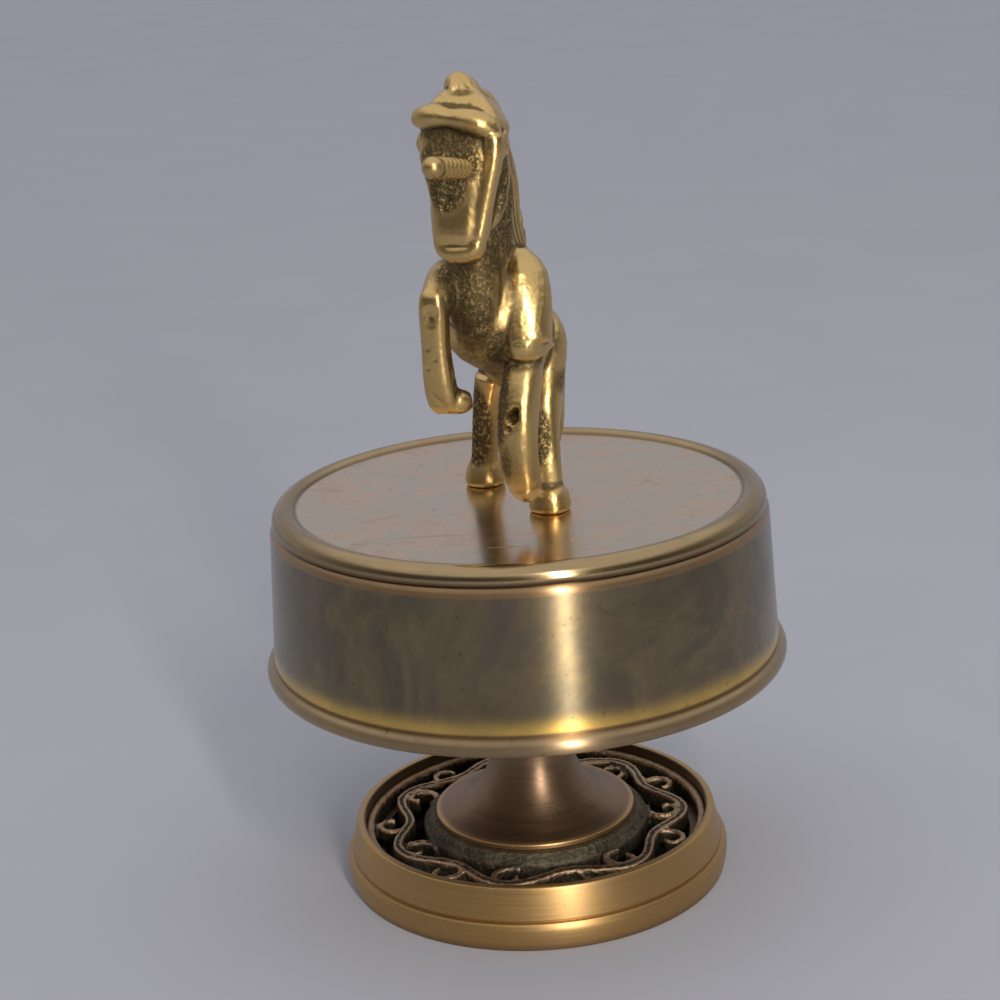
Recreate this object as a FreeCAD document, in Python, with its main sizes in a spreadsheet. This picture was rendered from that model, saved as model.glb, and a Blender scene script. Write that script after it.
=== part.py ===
import FreeCAD, Part
import math
import os
import re
import Sketcher
from FreeCAD import Placement, Rotation, Vector

# Carousel music box: a brass drum that turns on a screwed-on base and carries a rearing unicorn.
# Millimetres, +Z up, origin at the middle of the underside, the figure faces -Y.

# Driving dimensions: name, value, what it is
SIZES = [
    ("base_radius", 35.0, "widest radius of the base ring"),
    ("foot_draw", 0.5, "how far the base ring draws in where it stands"),
    ("base_height", 11.0, "height of the base ring"),
    ("bulge_height", 3.5, "height of the widest part of the base ring"),
    ("groove_height", 5.0, "height of the lower edge of the turned groove"),
    ("groove_width", 0.4, "width of the turned groove"),
    ("groove_depth", 0.3, "depth of the turned groove"),
    ("roll_step", 0.5, "how far the lower roll stands proud of the band"),
    ("band_inset", 1.0, "foot of the conical band inside the widest radius"),
    ("rim_inset", 2.3, "rim of the base ring inside the widest radius"),
    ("rim_wall", 1.4, "wall at the base ring's rim"),
    ("rim_round", 0.4, "rounding of the rim's outer edge"),
    ("ledge_width", 3.0, "width of the ledge that carries the insert"),
    ("recess_wall", 3.0, "wall of the base ring round the recess under it"),
    ("felt_thickness", 1.0, "felt under the base"),
    ("base_plate_thickness", 1.2, "sheet that closes the base"),
    ("insert_recess", 1.7, "depth of the vine scroll below the rim"),
    ("insert_thickness", 3.2, "thickness of the vine scroll"),
    ("insert_ring", 1.4, "width of the insert's outer ring"),
    ("boss_radius", 20.6, "radius of the insert's middle boss"),
    ("boss_stem_radius", 9.0, "radius of the boss under the scroll"),
    ("boss_rise", 1.5, "height of the boss above the scroll"),
    ("boss_slope", 1.6, "how far the boss draws in at its top"),
    ("vine_waves", 7, "waves of the vine round the insert"),
    ("vine_width", 1.8, "width of the vine"),
    ("vine_swing", 2.0, "how far the vine waves to each side of its middle line"),
    ("curl_bite", 0.4, "how far a curled tendril runs into the vine and into the ring or boss"),
    ("curl_width", 1.3, "width of a curled tendril"),
    ("skirt_radius", 18.2, "radius of the pedestal's skirt"),
    ("skirt_edge", 0.9, "upright edge of the skirt"),
    ("neck_radius", 7.4, "radius of the pedestal's neck"),
    ("neck_height", 13.3, "height of the neck above the skirt's seat"),
    ("collar_radius", 10.5, "radius of the collar under the drum"),
    ("collar_edge", 1.0, "upright edge of the collar"),
    ("collar_rise", 5.0, "height over which the neck opens to the collar"),
    ("pedestal_height", 30.0, "height of the pedestal"),
    ("pedestal_screw_radius", 2.0, "shank radius of the pedestal screw"),
    ("pedestal_screw_head", 4.0, "head radius of the pedestal screw"),
    ("pedestal_screw_head_height", 0.8, "head height of the pedestal screw"),
    ("pedestal_screw_depth", 8.0, "depth of the pedestal screw in the pedestal"),
    ("arbor_radius", 2.25, "radius of the winding arbor"),
    ("arbor_depth", 9.0, "depth of the winding arbor in the pedestal"),
    ("washer_radius", 8.0, "radius of the thrust washer"),
    ("washer_thickness", 0.5, "thickness of the thrust washer"),
    ("running_gap", 0.1, "gap under the turning drum"),
    ("bore_gap", 0.05, "radial clearance of a turning shaft"),
    ("fit_gap", 0.05, "clearance of a seated piece"),
    ("hole_gap", 0.4, "clearance of a hole that a shaft only passes"),
    ("lip_thickness", 0.8, "lip spun in under the bottom cover"),
    ("lip_width", 1.8, "width of the spun lip"),
    ("cover_thickness", 1.5, "bottom cover of the drum"),
    ("cover_seat", 0.6, "depth of the groove that holds the cover"),
    ("flange_round", 1.6, "rounding of the drum's flange"),
    ("flange_step", 0.8, "height of the step from the flange to the wall"),
    ("flange_reach", 1.4, "how far the drum's flange stands out past the wall"),
    ("wall_foot_radius", 45.1, "drum wall radius above the flange"),
    ("wall_draw", 1.2, "how far the drum wall draws in towards its top"),
    ("wall_thickness", 1.0, "drum wall"),
    ("shoulder_round", 1.7, "rounded shoulder at the top of the wall"),
    ("drum_height", 30.5, "flange underside to top plate"),
    ("opening_inset", 4.5, "opening for the top cap inside the wall's top"),
    ("cap_thickness", 1.2, "thickness of the top cap"),
    ("cap_plug", 1.8, "depth of the cap's plug below the wall's top"),
    ("shoulder_drop", 2.2, "wall's top below the top plate"),
    ("bead_inset", 2.9, "crest of the bead inside the wall's top"),
    ("bead_round", 2.45, "outer rounding of the bead"),
    ("bead_inner_round", 2.1, "inner rounding of the bead"),
    ("bead_height", 0.8, "crest of the bead above the top plate"),
    ("figure_heading", 22.0, "turn of the figure towards -X, in degrees"),
    ("hoof_radius", 3.5, "radius of a hind hoof at the plate"),
    ("hoof_top_radius", 2.9, "radius of a hind hoof at its top"),
    ("hoof_height", 3.0, "height of a hind hoof"),
    ("hoof_lap", 0.4, "how far a leg runs down into its hoof"),
    ("leg_radius", 2.4, "radius of a hind cannon"),
    ("rump_width", 14.8, "width of the rump"),
    ("chest_width", 17.6, "width of the chest"),
    ("neck_width", 8.2, "width of the figure's neck"),
    ("brow_width", 15.0, "width of the head at the brow"),
    ("muzzle_width", 8.2, "width of the head at the muzzle"),
    ("horn_length", 12.0, "length of the horn"),
    ("horn_radius", 1.7, "radius of the ball at the horn's tip"),
    ("horn_groove_radius", 1.5, "radius of the horn between its ribs"),
    ("horn_ribs", 6, "rounded ribs of the horn"),
    ("rib_rounding", 0.6, "rounding of a rib in rib lengths, more than a half"),
    ("horn_spigot", 3.0, "depth of the horn's spigot in the head"),
    ("horn_spigot_radius", 1.1, "radius of the horn's spigot"),
    ("horn_clearing", 6.0, "length of the horn that the head is cleared for"),
    ("figure_screw_radius", 1.2, "shank radius of a figure screw"),
    ("figure_screw_depth", 4.5, "depth of a figure screw in a hoof"),
    ("screw_head_height", 1.0, "height of a small screw's head"),
    ("screw_head_radius", 1.8, "head radius of a small screw"),
    ("screw_radius", 0.9, "shank radius of a small screw"),
    ("screw_depth", 3.5, "depth of a small screw in its seat"),
    ("bed_thickness", 2.2, "movement bedplate"),
    ("bed_gap", 0.9, "gap between the bedplate's round edge and the drum wall"),
    ("bed_margin", 1.9, "bedplate past the pieces that stand on it"),
    ("movement_room", 1.17, "room between the movement's outer corner and the drum wall"),
    ("wheel_gap", 0.4, "gap between moving and fixed pieces of the movement"),
    ("wheel_web", 1.4, "web of the great wheel"),
    ("wheel_hub_radius", 5.0, "hub radius of the great wheel"),
    ("wheel_hub_height", 3.8, "hub height of the great wheel"),
    ("crown_teeth", 34, "teeth of the great wheel"),
    ("crown_module", 0.9, "module of great wheel and drive pinion"),
    ("crown_face", 2.8, "length of the crown teeth"),
    ("pinion_teeth", 16, "teeth of the drive pinion"),
    ("tooth_share", 0.28, "share of the pitch that a tooth fills"),
    ("tooth_root", 1.2, "depth of a tooth below the pitch circle in modules"),
    ("tooth_tip", 0.9, "height of a tooth above the pitch circle in modules"),
    ("tooth_lap", 0.3, "how far a tooth runs into its disc in modules"),
    ("tooth_foot", 1.5, "width of a tooth at its root in widths at the pitch circle"),
    ("tooth_land", 0.55, "width of a tooth at its tip in widths at the pitch circle"),
    ("crown_lap", 0.2, "how far a crown tooth runs into the web"),
    ("crown_inset", 0.1, "outer edge of the web past the crown teeth"),
    ("gear_teeth", 30, "teeth of the cylinder gear"),
    ("governor_teeth", 8, "teeth of the governor pinion"),
    ("fine_module", 0.5, "module of the governor train"),
    ("gear_thickness", 1.4, "thickness of the cylinder gear"),
    ("worm_wheel_teeth", 16, "teeth of the worm wheel"),
    ("worm_wheel_thickness", 1.2, "thickness of the worm wheel"),
    ("worm_radius", 1.1, "pitch radius of the worm"),
    ("worm_turns", 4, "turns of the worm's thread"),
    ("worm_land", 0.6, "plain core of the worm past the ends of its thread"),
    ("thread_lap", 0.25, "how far the worm's thread runs into its core"),
    ("thread_tip", 0.8, "height of the worm's thread above its pitch radius in modules"),
    ("thread_foot", 1.3, "width of the thread at its root in widths at the pitch radius"),
    ("thread_land", 0.6, "width of the thread at its tip in widths at the pitch radius"),
    ("worm_shaft_radius", 0.5, "radius of the worm's pivots"),
    ("barrel_gap", 1.4, "gap between the spring barrel and the cylinder's arbor"),
    ("barrel_wall", 0.8, "wall of the spring barrel"),
    ("barrel_height", 12.0, "height of the spring barrel"),
    ("post_gap", 0.9, "gap between the great wheel and the barrel's fixing posts"),
    ("lug_radius", 2.0, "radius of a fixing post"),
    ("lug_thickness", 1.4, "thickness of the barrel's lugs"),
    ("spring_thickness", 0.4, "mainspring strip"),
    ("spring_turns", 7, "turns of the mainspring"),
    ("spring_margin", 0.6, "room between mainspring and barrel"),
    ("bearing_thickness", 1.2, "sheet of the bearing brackets"),
    ("bearing_width", 6.0, "width of the bearing brackets"),
    ("bearing_head", 2.6, "bearing bracket above the cylinder's axis"),
    ("feet_gap", 1.5, "gap between the feet of the two bearing brackets"),
    ("foot_screw_reach", 4.5, "foot screw from the face of its bearing bracket"),
    ("side_gap", 0.5, "gap along the cylinder's axis between neighbours"),
    ("cylinder_radius", 6.2, "radius of the pin cylinder"),
    ("cylinder_wall", 0.8, "wall of the pin cylinder"),
    ("cylinder_hub", 2.2, "hub radius of the pin cylinder"),
    ("cylinder_arbor_radius", 0.9, "radius of the cylinder's arbor"),
    ("notes", 18, "tracks of pins, one for each comb tooth"),
    ("pins_per_note", 5, "pins in a track"),
    ("pin_radius", 0.2, "radius of a pin"),
    ("pin_height", 0.5, "height of a pin above the cylinder"),
    ("comb_gap", 0.25, "gap between pins and comb"),
    ("comb_thickness", 1.0, "thickness of the comb"),
    ("comb_slot", 0.16, "slot between two comb teeth"),
    ("comb_long_tooth", 10.5, "longest comb tooth"),
    ("comb_short_tooth", 6.5, "shortest comb tooth"),
    ("comb_root", 6.0, "width of the comb's fixed part behind the longest tooth"),
    ("comb_screw_inset", 2.8, "comb screws from the ends of the comb"),
    ("cheek_thickness", 1.0, "sheet of the governor frame"),
    ("cheek_width", 3.0, "governor frame beside its arbor"),
    ("governor_arbor_radius", 0.6, "radius of the governor's arbor"),
    ("fan_radius", 3.4, "radius of the air brake fan"),
    ("fan_height", 2.6, "height of the fan's vanes"),
    ("fan_thickness", 0.4, "sheet of the fan's vanes"),
    ("movement_screw_back", 16.8, "movement screws behind the arbor"),
    ("movement_screw_side", 13.0, "movement screws to each side of the arbor"),
    ("movement_screw_radius", 1.3, "shank radius of a movement screw"),
    ("movement_screw_head", 2.4, "head radius of a movement screw"),
]

# Places and sizes worked out from the driving dimensions
PLACES = {
    "base_foot_radius": "base_radius - foot_draw",
    "band_radius": "base_radius - band_inset",
    "rim_radius": "base_radius - rim_inset",
    "recess_radius": "base_radius - recess_wall",
    "plate_top": "felt_thickness + base_plate_thickness",
    "ring_bore": "rim_radius - rim_wall",
    "ledge_radius": "ring_bore - ledge_width",
    "scroll_top": "base_height - insert_recess",
    "scroll_seat": "scroll_top - insert_thickness",
    "insert_radius": "ring_bore - fit_gap",
    "pedestal_seat": "scroll_top + boss_rise",
    "pedestal_top": "pedestal_seat + pedestal_height",
    "washer_top": "pedestal_top + washer_thickness",
    "cover_low": "washer_top + running_gap",
    "cover_top": "cover_low + cover_thickness",
    "drum_floor": "cover_low - lip_thickness",
    "top_plate": "drum_floor + drum_height",
    "cap_under": "top_plate - cap_thickness",
    "shoulder_top": "top_plate - shoulder_drop",
    "flange_radius": "wall_foot_radius + flange_reach",
    "wall_top_radius": "wall_foot_radius - wall_draw",
    "rim_opening": "wall_top_radius - opening_inset",
    "bead_ring_radius": "wall_top_radius - bead_inset",
    "inner_foot": "wall_foot_radius - wall_thickness",
    "inner_top": "wall_top_radius - wall_thickness",
    "cover_groove": "inner_foot + cover_seat",
    "bead_crest": "top_plate + bead_height",
    "bead_middle": "bead_crest - bead_round",
    "bead_foot": "bead_ring_radius + sqrt(bead_round^2 - (bead_middle - shoulder_top)^2)",
    "bead_inner": "bead_ring_radius - sqrt(bead_inner_round^2 - (bead_inner_round - bead_height)^2)",
    "rib_length": "(horn_length - 2 * horn_radius) / horn_ribs",
    "rib_arc": "rib_rounding * rib_length",
    "rib_reach": "horn_groove_radius + rib_arc - sqrt(rib_arc^2 - rib_length^2 / 4)",
    "bed_top": "cover_top + bed_thickness",
    "wheel_low": "bed_top + wheel_gap",
    "web_top": "wheel_low + wheel_web",
    "crown_pitch": "crown_module * crown_teeth / 2",
    "pinion_pitch": "crown_module * pinion_teeth / 2",
    "crown_tooth_low": "crown_module * tooth_root",
    "crown_tooth_high": "crown_module * tooth_tip",
    "mesh_level": "web_top + crown_tooth_low + wheel_gap / 2",
    "axis_level": "mesh_level + pinion_pitch",
    "barrel_cover_low": "wheel_low + wheel_hub_height + wheel_gap",
    "barrel_low": "barrel_cover_low + barrel_wall",
    "barrel_top": "barrel_low + barrel_height",
    "lug_top": "barrel_low + lug_thickness",
    "crown_edge": "crown_pitch + crown_face / 2",
    "crown_inner": "crown_pitch - crown_face / 2",
    "barrel_radius": "crown_inner - side_gap - barrel_gap",
    "lug_reach": "crown_edge + post_gap + lug_radius",
    "bed_radius": "inner_top - bed_gap",
    "bed_back": "lug_reach + lug_radius + bed_margin",
    "bed_side": "movement_side + bed_margin",
    "bed_comb_side": "comb_back + bed_margin",
    "movement_side": "worm_side + cheek_width / 2",
    "cheek_outer_end": "sqrt((inner_top - movement_room)^2 - movement_side^2)",
    "cheek_outer_start": "cheek_outer_end - cheek_thickness",
    "worm_place": "cheek_outer_start - wheel_gap - screw_head_radius",
    "worm_wheel_start": "worm_place - worm_wheel_thickness / 2",
    "gear_end": "worm_wheel_start - 2 * side_gap",
    "gear_start": "gear_end - gear_thickness",
    "cylinder_end": "gear_start - side_gap",
    "inner_bearing_face": "crown_edge + 2 * wheel_gap",
    "cylinder_start": "inner_bearing_face + bearing_thickness + side_gap",
    "cylinder_length": "cylinder_end - cylinder_start",
    "outer_bearing_face": "gear_end + side_gap",
    "outer_bearing_end": "outer_bearing_face + bearing_thickness",
    "bearing_foot": "(outer_bearing_end - inner_bearing_face - feet_gap) / 2",
    "pin_reach": "cylinder_radius + pin_height",
    "gear_pitch": "fine_module * gear_teeth / 2",
    "governor_pitch": "fine_module * governor_teeth / 2",
    "governor_side": "gear_pitch + governor_pitch",
    "worm_wheel_pitch": "fine_module * worm_wheel_teeth / 2",
    "worm_side": "governor_side + worm_wheel_pitch + worm_radius",
    "worm_pitch": "fine_module * pi",
    "cheek_inner_end": "gear_start - side_gap",
    "cheek_inner_start": "cheek_inner_end - cheek_thickness",
    "cheek_top": "axis_level + cheek_width",
    "worm_low": "axis_level - worm_turns * worm_pitch / 2",
    "worm_top": "axis_level + worm_turns * worm_pitch / 2",
    "fan_low": "axis_level + worm_wheel_pitch + fine_module + wheel_gap",
    "fan_top": "fan_low + fan_height",
    "arm_low": "fan_top + wheel_gap",
    "arm_top": "arm_low + cheek_thickness",
    "foot_top": "bed_top + bearing_thickness",
    "comb_low": "axis_level - comb_thickness / 2",
    "comb_top": "axis_level + comb_thickness / 2",
    "comb_tip": "pin_reach + comb_gap",
    "comb_back": "comb_tip + comb_long_tooth + comb_root",
    "note_pitch": "cylinder_length / (notes + 1)",
}

SIZE_NAMES = {name for name, number, note in SIZES}
WORD = re.compile(r"[a-z][a-z0-9_]*")

doc = FreeCAD.newDocument("carousel_music_box")
sheet = doc.addObject("Spreadsheet::Sheet", "Sizes")
for row, (name, number, note) in enumerate(SIZES, start=1):
    sheet.set("A%d" % row, note)
    sheet.set("B%d" % row, str(number))
    sheet.setAlias("B%d" % row, name)
doc.recompute()

nodes = []


def bound(text):
    """Write an expression of named sizes and places in terms of the sheet's cells."""
    def swap(match):
        word = match.group(0)
        if word in PLACES:
            return "(" + bound(PLACES[word]) + ")"
        return "Sizes." + word if word in SIZE_NAMES else word
    return WORD.sub(swap, str(text))


def value(text):
    """The number that an expression of named sizes and places comes to."""
    return float(sheet.evalExpression(bound(text)))


def node(label, piece):
    """Name a finished piece, so that it is checked and written."""
    piece.Label = label
    nodes.append(piece)
    return piece


def bind(piece, **bindings):
    """Bind properties of a piece, with __ for a dot, to expressions."""
    for name, text in bindings.items():
        piece.setExpression(name.replace("__", "."), bound(text))
    return piece


def put(piece, x=0, y=0, z=0, turn=None):
    """Bind a piece's place, after an optional fixed turn."""
    if turn is not None:
        piece.Placement = Placement(Vector(), turn)
    return bind(piece, Placement__Base__x=x, Placement__Base__y=y, Placement__Base__z=z)


ALONG_X = Rotation(Vector(0, 1, 0), 90)


def rod(name, radius, length, x=0, y=0, z=0, turn=None):
    """A cylinder that starts at x, y, z."""
    piece = doc.addObject("Part::Cylinder", name)
    bind(piece, Radius=radius, Height=length)
    return put(piece, x, y, z, turn)


def block(name, length, width, height, x, y, z):
    """A box whose lowest corner is at x, y, z."""
    piece = doc.addObject("Part::Box", name)
    bind(piece, Length=length, Width=width, Height=height)
    return put(piece, x, y, z)


def join(name, pieces):
    """Fuse pieces to one."""
    fused = doc.addObject("Part::MultiFuse", name)
    fused.Shapes = pieces
    return fused


def group(name, pieces):
    """Keep like pieces as separate solids of one node."""
    gathered = doc.addObject("Part::Compound", name)
    gathered.Links = pieces
    return gathered


def cut(name, base, tools):
    """Cut tools out of a piece."""
    remains = doc.addObject("Part::Cut", name)
    remains.Base = base
    remains.Tool = tools[0] if len(tools) == 1 else group(name + "_tools", tools)
    return remains


def plane(body, role):
    """One of a body's own origin planes or axes."""
    return next(item for item in body.Origin.OriginFeatures if item.Role == role)


def arc_between(start, end, radius):
    """The arc from start to end, and whether it runs anticlockwise: a positive radius turns left."""
    chord = end - start
    reach = chord.Length
    side = Vector(-chord.y, chord.x, 0) * (math.copysign(1, radius) / reach)
    centre = (start + end) * 0.5 + side * math.sqrt(radius * radius - reach * reach / 4)
    first = math.atan2(start.y - centre.y, start.x - centre.x)
    last = math.atan2(end.y - centre.y, end.x - centre.x)
    if radius < 0:
        first, last = last, first
    if last < first:
        last += 2 * math.pi
    circle = Part.Circle(centre, Vector(0, 0, 1), abs(radius))
    return Part.ArcOfCircle(circle, first, last)


def outline(body, name, corners, role="XZ_Plane"):
    """Sketch a closed outline. A corner is (across, up) or, where an arc leads on from it, (across, up, radius)."""
    sketch = body.newObject("Sketcher::SketchObject", name)
    sketch.AttachmentSupport = [(plane(body, role), "")]
    sketch.MapMode = "FlatFace"
    points = [Vector(value(corner[0]), value(corner[1]), 0) for corner in corners]
    ends = []
    for place, corner in enumerate(corners):
        start = points[place]
        end = points[(place + 1) % len(points)]
        if len(corner) == 2:
            edge = sketch.addGeometry(Part.LineSegment(start, end))
            ends.append((edge, 1, 2))
        else:
            radius = value(corner[2])
            edge = sketch.addGeometry(arc_between(start, end, radius))
            ends.append((edge, 1, 2) if radius > 0 else (edge, 2, 1))
    for place, corner in enumerate(corners):
        edge, start, end = ends[place]
        last_edge, last_start, last_end = ends[place - 1]
        sketch.addConstraint(Sketcher.Constraint("Coincident", last_edge, last_end, edge, start))
        for kind, axis, text in (("DistanceX", -2, corner[0]), ("DistanceY", -1, corner[1])):
            if str(text) == "0":
                sketch.addConstraint(Sketcher.Constraint("PointOnObject", edge, start, axis))
                continue
            rule = Sketcher.Constraint(kind, -1, 1, edge, start, value(text))
            bind_rule(sketch, sketch.addConstraint(rule), text)
        if len(corner) == 3:
            rule = Sketcher.Constraint("Radius", edge, abs(value(corner[2])))
            bind_rule(sketch, sketch.addConstraint(rule), "abs(%s)" % corner[2])
    return sketch


def bind_rule(sketch, place, text):
    """Bind a sketch's dimension to an expression."""
    sketch.setExpression("Constraints[%d]" % place, bound(text))


def turned(name, corners):
    """A body turned about Z from an outline of (radius, height) corners."""
    body = doc.addObject("PartDesign::Body", name)
    sketch = outline(body, name + "_outline", corners)
    turn = body.newObject("PartDesign::Revolution", name + "_turning")
    turn.Profile = sketch
    turn.ReferenceAxis = (sketch, ["V_Axis"])
    turn.Angle = 360
    body.Tip = turn
    return body


def ring(name, inner, outer, low, high):
    """A flat ring or washer."""
    return turned(name, [(inner, low), (outer, low), (outer, high), (inner, high)])


def disc_screw(name, x, y, seat, head, shank, depth, up=True):
    """A screw whose head lies on the level seat and whose shank goes down, or up into the piece above."""
    head_low = seat if up else "%s - screw_head_height" % seat
    shank_low = "%s - (%s)" % (seat, depth) if up else seat
    top = rod(name + "_head", head, "screw_head_height", x, y, head_low)
    stem = rod(name + "_shank", shank, depth, x, y, shank_low)
    return join(name, [top, stem])


def toothed(name, teeth, module, thickness, bore):
    """A spur wheel along Z: a root disc, one tooth on +X and its polar pattern."""
    body = doc.addObject("PartDesign::Body", name)
    pitch = "(%s * %s / 2)" % (module, teeth)
    root = "(%s - tooth_root * %s)" % (pitch, module)
    tip = "(%s + tooth_tip * %s)" % (pitch, module)
    half = "(tooth_share * pi * %s / 2)" % module
    blank = body.newObject("Sketcher::SketchObject", name + "_disc")
    blank.AttachmentSupport = [(plane(body, "XY_Plane"), "")]
    blank.MapMode = "FlatFace"
    for radius in (root, bore):
        edge = blank.addGeometry(Part.Circle(Vector(), Vector(0, 0, 1), value(radius)))
        blank.addConstraint(Sketcher.Constraint("Coincident", edge, 3, -1, 1))
        rule = Sketcher.Constraint("Radius", edge, value(radius))
        bind_rule(blank, blank.addConstraint(rule), radius)
    disc = body.newObject("PartDesign::Pad", name + "_blank")
    disc.Profile = blank
    bind(disc, Length=thickness)
    inside = "%s - tooth_lap * %s" % (root, module)
    corners = [
        (inside, "-tooth_foot * " + half),
        (root, "-tooth_foot * " + half),
        (tip, "-tooth_land * " + half),
        (tip, "tooth_land * " + half),
        (root, "tooth_foot * " + half),
        (inside, "tooth_foot * " + half),
    ]
    tooth = body.newObject("PartDesign::Pad", name + "_tooth")
    tooth.Profile = outline(body, name + "_tooth_outline", corners, "XY_Plane")
    bind(tooth, Length=thickness)
    pattern(body, name, tooth, teeth)
    return body


def pattern(body, name, feature, count):
    """Repeat a feature round the body's Z axis."""
    copies = body.newObject("PartDesign::PolarPattern", name + "_teeth")
    copies.Originals = [feature]
    copies.Axis = (plane(body, "Z_Axis"), [""])
    copies.Angle = 360
    bind(copies, Occurrences=count)
    body.Tip = copies


# Base
def make_base():
    """The standing base: ring, scroll insert, plate, felt, pedestal and the screw that clamps them."""
    bulge = "base_radius - base_foot_radius"
    bulge_arc = "((%s)^2 + bulge_height^2) / (2 * (%s))" % (bulge, bulge)
    roll = "base_radius - band_radius - roll_step"
    roll_rise = "groove_height - bulge_height"
    roll_arc = "((%s)^2 + (%s)^2) / (2 * (%s))" % (roll, roll_rise, roll)
    groove = "band_radius - groove_depth"
    node("base_ring", turned("base_ring", [
        ("recess_radius", "0"),
        ("base_foot_radius", "0", bulge_arc),
        ("base_radius", "bulge_height", roll_arc),
        ("band_radius + roll_step", "groove_height"),
        (groove, "groove_height"),
        (groove, "groove_height + groove_width"),
        ("band_radius", "groove_height + groove_width"),
        ("rim_radius", "base_height - rim_round", "rim_round"),
        ("rim_radius - rim_round", "base_height"),
        ("ring_bore", "base_height"),
        ("ring_bore", "scroll_seat"),
        ("ledge_radius", "scroll_seat"),
        ("ledge_radius", "plate_top"),
        ("recess_radius", "plate_top"),
    ]))
    plate_bore = "pedestal_screw_radius + fit_gap"
    plate_edge = "recess_radius - fit_gap"
    node("base_plate", ring("base_plate", plate_bore, plate_edge, "felt_thickness", "plate_top"))
    node("felt_pad", ring("felt_pad", "pedestal_screw_head + hole_gap", plate_edge, "0", "felt_thickness"))
    skirt = "skirt_radius - neck_radius"
    skirt_rise = "neck_height - skirt_edge"
    skirt_arc = "-((%s)^2 + (%s)^2) / (2 * (%s))" % (skirt, skirt_rise, skirt)
    collar = "collar_radius - neck_radius"
    collar_arc = "-((%s)^2 + collar_rise^2) / (2 * (%s))" % (collar, collar)
    collar_low = "pedestal_top - collar_edge"
    node("pedestal", turned("pedestal", [
        ("pedestal_screw_radius", "pedestal_seat"),
        ("skirt_radius", "pedestal_seat"),
        ("skirt_radius", "pedestal_seat + skirt_edge", skirt_arc),
        ("neck_radius", "pedestal_seat + neck_height"),
        ("neck_radius", collar_low + " - collar_rise", collar_arc),
        ("collar_radius", collar_low),
        ("collar_radius", "pedestal_top"),
        ("arbor_radius", "pedestal_top"),
        ("arbor_radius", "pedestal_top - arbor_depth"),
        ("0", "pedestal_top - arbor_depth"),
        ("0", "pedestal_seat + pedestal_screw_depth"),
        ("pedestal_screw_radius", "pedestal_seat + pedestal_screw_depth"),
    ]))
    node("pedestal_screw", turned("pedestal_screw", [
        ("0", "felt_thickness - pedestal_screw_head_height"),
        ("pedestal_screw_head", "felt_thickness - pedestal_screw_head_height"),
        ("pedestal_screw_head", "felt_thickness"),
        ("pedestal_screw_radius", "felt_thickness"),
        ("pedestal_screw_radius", "pedestal_seat + pedestal_screw_depth"),
        ("0", "pedestal_seat + pedestal_screw_depth"),
    ]))
    node("winding_arbor", rod("winding_arbor", "arbor_radius", "barrel_top - pedestal_top + arbor_depth",
                              z="pedestal_top - arbor_depth"))
    node("thrust_washer", ring("thrust_washer", "arbor_radius", "washer_radius", "pedestal_top", "washer_top"))


def wave_band(middle, swing, half):
    """The closed face of a vine that waves round the insert."""
    waves = int(value("vine_waves"))
    points_per_wave = 10
    edges = []
    for side in (half, -half):
        points = []
        for step in range(waves * points_per_wave):
            angle = 2 * math.pi * step / (waves * points_per_wave)
            radius = middle + swing * math.cos(waves * angle)
            slope = -waves * swing * math.sin(waves * angle)
            along = Vector(slope * math.cos(angle) - radius * math.sin(angle),
                           slope * math.sin(angle) + radius * math.cos(angle), 0).normalize()
            outward = Vector(along.y, -along.x, 0)
            points.append(Vector(radius * math.cos(angle), radius * math.sin(angle), 0) + outward * side)
        curve = Part.BSplineCurve()
        curve.interpolate(points, PeriodicFlag=True)
        edges.append(Part.Face(Part.Wire(curve.toShape())))
    outer, inner = edges
    return outer.cut(inner)


def curl(centre, radius, width, opening):
    """A tendril: three quarters of a ring, open towards the angle opening."""
    tip = Vector(math.cos(opening), math.sin(opening), 0)
    side = Vector(-tip.y, tip.x, 0)
    inner = radius - width
    arcs = [
        Part.Arc(centre + side * radius, centre - side * radius, centre + tip * radius),
        Part.LineSegment(centre + tip * radius, centre + tip * inner),
        Part.Arc(centre + tip * inner, centre - side * inner, centre + side * inner),
        Part.LineSegment(centre + side * inner, centre + side * radius),
    ]
    return Part.Face(Part.Wire([piece.toShape() for piece in arcs]))


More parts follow.
